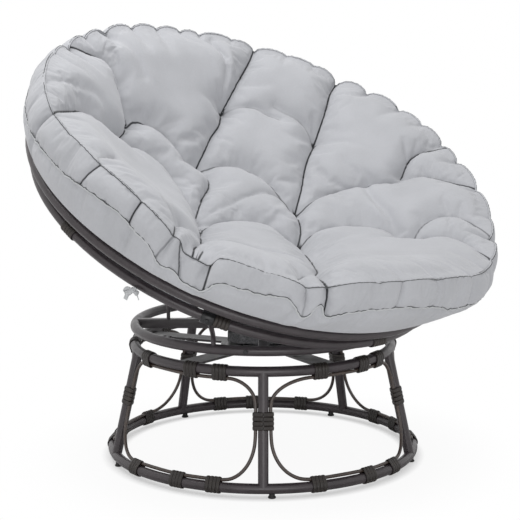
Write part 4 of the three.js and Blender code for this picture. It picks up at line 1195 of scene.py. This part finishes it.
# Gives the mesh, how each point is held, and the two rings of points beside each seam
def makeCushionMesh():
    rows = ringRows()
    rings, blocks, faces, count = [], [], [], 0
    for make, value, sectors in rows:
        angle = np.arange(sectors) * 360 / sectors
        x, y, z, crease, side = make(np.full(sectors, value), angle)
        if make in (cushionTop, cushionUnderside):
            coord = x, y, np.full_like(x, make is cushionUnderside)
        else:
            coord = np.radians(angle) * meanRadius, z, np.full_like(x, 0.5)
        blocks.append(np.column_stack((x, y, z, *coord, crease, side, heldAt(make, value, crease))))
        rings.append(range(count, count + sectors))
        count += sectors
    for inner, outer in zip(rings, rings[1:]):
        faces += joinRings(inner, outer)
    for ring, block in ((rings[0], blocks[0]), (rings[-1], blocks[-1])):
        blocks.append([(*np.mean(block[:, :3], 0), *block[0, 3:6], 0.0, 1.0, block[0, 8])])
        faces += [(count, ring[i], ring[(i + 1) % len(ring)]) for i in range(len(ring))]
        count += 1
    points = np.concatenate(blocks)
    mesh = meshFrom("cushionPad", points[:, :3], faces)
    setValues(mesh, "pathCoord", "FLOAT_VECTOR", points[:, 3:6])
    # The cloth material paints shade along creases and seams from these two attributes
    setValues(mesh, "crease", "FLOAT", points[:, 6])
    setValues(mesh, "creaseSide", "FLOAT", points[:, 7])
    bm = bmesh.new()
    bm.from_mesh(mesh)
    bmesh.ops.recalc_face_normals(bm, faces=bm.faces[:])
    bm.to_mesh(mesh)
    bm.free()
    mesh.transform(bowlPlace)
    beside = [(rings[i - 1], rings[i + 1]) for i in range(len(rows)) if rows[i][0] is seamRow]
    return mesh, points[:, 8], beside


# A negative shrink is slack in the cloth
settling = {
    "frames": 20, "cap": 0.012, "pinned": 0.01,
    "cloth": {"vertex_group_mass": "pins", "use_pressure": True, "uniform_pressure_force": 4.0, "shrink_min": -0.045,
              "mass": 0.35, "tension_stiffness": 12.0, "compression_stiffness": 12.0, "bending_stiffness": 0.6,
              "quality": 4},
}


# Lets the filling press the cloth out between its sewn lines. No point moves further than the cap.
def settle(mesh, held):
    holder = linked("settlingCloth", mesh.copy())
    pins = holder.vertex_groups.new(name="pins")
    for i, weight in enumerate(held):
        if weight > settling["pinned"]:
            pins.add([i], float(weight), "REPLACE")
    sim = holder.modifiers.new("cloth", "CLOTH")
    for label, value in settling["cloth"].items():
        setattr(sim.settings, label, value)
    sim.settings.effector_weights.gravity = 0
    sim.point_cache.frame_start = 1
    sim.point_cache.frame_end = settling["frames"]
    for step in range(1, settling["frames"] + 1):
        bpy.context.scene.frame_set(step)
    settled = holder.evaluated_get(bpy.context.evaluated_depsgraph_get()).data
    before, after = np.empty(3 * len(mesh.vertices)), np.empty(3 * len(mesh.vertices))
    mesh.vertices.foreach_get("co", before)
    settled.vertices.foreach_get("co", after)
    move = (after - before).reshape(-1, 3)
    length = np.maximum(np.linalg.norm(move, axis=1), 1e-9)
    move *= (settling["cap"] * np.tanh(length / settling["cap"]) / length)[:, None]
    mesh.vertices.foreach_set("co", before + move.ravel())
    print("cloth settled, mean move in mm", round(1000 * float(length.mean()), 2))
    bpy.data.objects.remove(holder)
    bpy.context.scene.frame_set(1)


cushionMesh, heldPoints, besideSeams = makeCushionMesh()
settle(cushionMesh, heldPoints)
cushionPiece = addPiece("cushionPad", cushionMesh, "seat", ["cushion"], finish=cloth)
finer = cushionPiece.modifiers.new("finer", "SUBSURF")
finer.levels = 1
finer.render_levels = 1
print("cushion made", len(cushionMesh.vertices), "points")

# Sewn seams: a thin dark cord in each, which is painted shade along the seam's groove, and a cloth welt along the
# lower one
seamCords = {
    "upperSeamThread": {"seam": 0, "radius": 0.0009, "sides": 6, "out": -0.0002, "up": 0.0, "finish": seamShadeFinish},
    "lowerSeamThread": {"seam": 1, "radius": 0.0008, "sides": 6, "out": 0.0008, "up": 0.0024, "finish": seamShadeFinish},
    "lowerSeamWelt": {"seam": 1, "radius": 0.0019, "sides": 10, "out": 0.0002, "up": 0.0, "finish": tape},
}


# A line along a seam, level with the cloth beside it
def seamPath(rows, out, up):
    place = np.array(bowlPlace)
    near, far = [(np.array([cushionMesh.vertices[i].co for i in row]) - place[:3, 3]) @ place[:3, :3] for row in rows]
    reach = np.maximum(np.hypot(near[:, 0], near[:, 1]), np.hypot(far[:, 0], far[:, 1])) + out
    turn = np.arctan2(near[:, 1] + far[:, 1], near[:, 0] + far[:, 0])
    height = (near[:, 2] + far[:, 2]) / 2 + up
    return [bowlPlace @ Vector(p) for p in zip(reach * np.cos(turn), reach * np.sin(turn), height)]


for name, cord in seamCords.items():
    path = seamPath(besideSeams[cord["seam"]], cord["out"], cord["up"])
    addTube(name, path, cord, cord["finish"], "seat", closed=True)


# Tape ties knotted round the middle hoop. The courses are the two ends and the two bows, from the knot.

ties = {
    "angles": (203, -23, 60, 120), "outwards": 0.0135, "drop": 0.0125, "knot": 0.0062, "knotShape": (0.75, 0.95, 0.85),
    "ridge": 0.0007, "width": 0.008, "thickness": 0.0012, "facing": (0.4, 0.0, 1.0),
    "courses": (
        ((0, 0, 0), (0.004, 0.009, -0.001), (0.005, 0.015, -0.008), (0.004, 0.018, -0.017)),
        ((0, 0, 0), (0.004, -0.007, -0.004), (0.005, -0.011, -0.012), (0.003, -0.016, -0.019)),
        ((0, 0.002, 0), (0.005, 0.010, 0.004), (0.006, 0.016, 0.0), (0.004, 0.011, -0.006), (0.002, 0.003, -0.002)),
        ((0, -0.002, 0), (0.005, -0.010, 0.003), (0.006, -0.014, -0.003), (0.004, -0.009, -0.008),
         (0.002, -0.002, -0.003)),
    ),
}


# A flat ribbon along a line, its width turned towards a side direction
def ribbonMesh(path, side, width, thickness):
    points = []
    for i, p in enumerate(path):
        ahead = (path[min(i + 1, len(path) - 1)] - path[max(i - 1, 0)]).normalized()
        across = (side - ahead * side.dot(ahead)).normalized() * width / 2
        up = ahead.cross(across).normalized() * thickness / 2
        points += [p - across - up, p + across - up, p + across + up, p - across + up]
    return meshFrom("ribbon", points, tubeFaces(len(path), 4))


def knotMesh():
    bm = bmesh.new()
    bmesh.ops.create_uvsphere(bm, u_segments=16, v_segments=10, radius=ties["knot"])
    for v in bm.verts:
        v.co = v.co * Vector(ties["knotShape"])
        v.co += v.co.normalized() * ties["ridge"] * math.sin(9 * v.co.y / ties["knot"] + 3 * v.co.z / ties["knot"])
    return meshOf(bm, "knot")


for i, angle in enumerate(ties["angles"]):
    hoopMiddle = ringPoint(bowlPoint, midHoop, angle)
    outwards = Vector((*(hoopMiddle - swivel).xy, 0)).normalized()
    knotPlace = hoopMiddle + outwards * ties["outwards"] - upwards * ties["drop"]
    place = axesMatrix(outwards, upwards.cross(outwards), upwards, knotPlace)
    parts = [(knotMesh(), place)]
    for course in ties["courses"]:
        ribbon = ribbonMesh(smoothPath(course), Vector(ties["facing"]), ties["width"], ties["thickness"])
        parts.append((ribbon, place))
    addPiece(f"tapeTie{i + 1}", gathered(f"tapeTie{i + 1}", parts), "seat",
             [f"cushion_tie_{i + 1}"], finish=tape)
print("ties made")


# Studio

camera = {"offset": (-2.1326, -2.1235, 0.9047), "pitch": 9.03, "turn": -45, "lens": 97.2, "sensor": 36}
lens = bpy.data.cameras.new("camera")
lens.lens = camera["lens"]
lens.sensor_width = camera["sensor"]
eye = linked("camera", lens)
eye.location = swivel + Vector(camera["offset"])
eye.rotation_euler = (math.radians(90 - camera["pitch"]), 0, math.radians(camera["turn"]))
bpy.context.scene.camera = eye

# The floor takes the chair's shadow, softened with white. The shadow is strongest where the bottom ring nearly
# touches the floor, and turns into plain white further out.
floor = {"size": 14, "colour": (0.86, 0.86, 0.86), "shadeFrom": 0.36, "whiteFrom": 0.60, "softened": 0.925,
         "contact": 0.45, "contactWidth": 0.035}
floorMesh = meshFrom("floor", [(-1, -1, 0), (1, -1, 0), (1, 1, 0), (-1, 1, 0)], [(0, 1, 2, 3)])
floorMesh.transform(Matrix.Scale(floor["size"], 4))
floorPiece = linked("floor", floorMesh)
floorMaterial, tree, shader = newMaterial("paleFloor")
connect(tree, shader, {"Base Color": (*floor["colour"], 1), "Roughness": 0.9, "Specular IOR Level": 0.1})
offset = node(tree, "ShaderNodeVectorMath", {0: objectCoord(tree), 1: tuple(swivel)}, operation="SUBTRACT")
outwards = node(tree, "ShaderNodeVectorMath", {0: offset}, operation="LENGTH").outputs["Value"]
fade = remap(tree, outwards, floor["shadeFrom"], floor["whiteFrom"], floor["softened"], 1,
             interpolation_type="SMOOTHSTEP")
fromRing = calc(tree, "ABSOLUTE", calc(tree, "SUBTRACT", outwards, bottomRing["radius"]))
contact = remap(tree, fromRing, 0, floor["contactWidth"], floor["contact"], 1, interpolation_type="SMOOTHSTEP")
seen = calc(tree, "MULTIPLY", node(tree, "ShaderNodeLightPath").outputs["Is Camera Ray"],
            calc(tree, "MINIMUM", fade, contact))
white = node(tree, "ShaderNodeEmission", {"Color": (1, 1, 1, 1), "Strength": 1})
mixed = node(tree, "ShaderNodeMixShader", {0: seen, 1: tree.nodes["Principled BSDF"], 2: white})
connect(tree, tree.nodes["Material Output"].inputs, {"Surface": mixed})
floorMesh.materials.append(floorMaterial)

# White seen directly or mirrored, and softer as light on the chair
surroundings = {"light": 0.75, "seen": 1.0}
world = bpy.data.worlds.new("studio")
bpy.context.scene.world = world
world.use_nodes = True
tree = world.node_tree
rays = node(tree, "ShaderNodeLightPath").outputs
seen = calc(tree, "MAXIMUM", calc(tree, "MAXIMUM", rays["Is Camera Ray"], rays["Is Glossy Ray"]),
            rays["Is Transmission Ray"])
strength = remap(tree, seen, 0, 1, surroundings["light"], surroundings["seen"])
connect(tree, tree.nodes["Background"].inputs, {"Color": (1, 1, 1, 1), "Strength": strength})

lights = {
    "overhead": {"place": (-0.5, 0.5, 2.6), "target": (0, 0.1, 0.5), "size": 1.5, "power": 29},
    "front": {"place": (-1.9, -2.2, 0.35), "target": (0, 0, 0.4), "size": 1.8, "power": 21},
}
for name, light in lights.items():
    lamp = bpy.data.lights.new(name, "AREA")
    lamp.size = light["size"]
    lamp.energy = light["power"]
    holder = linked(name, lamp)
    holder.location = light["place"]
    away = Vector(light["place"]) - Vector(light["target"])
    holder.rotation_euler = away.to_track_quat("Z", "Y").to_euler()
bpy.context.scene.view_settings.view_transform = "Standard"
print("studio made")
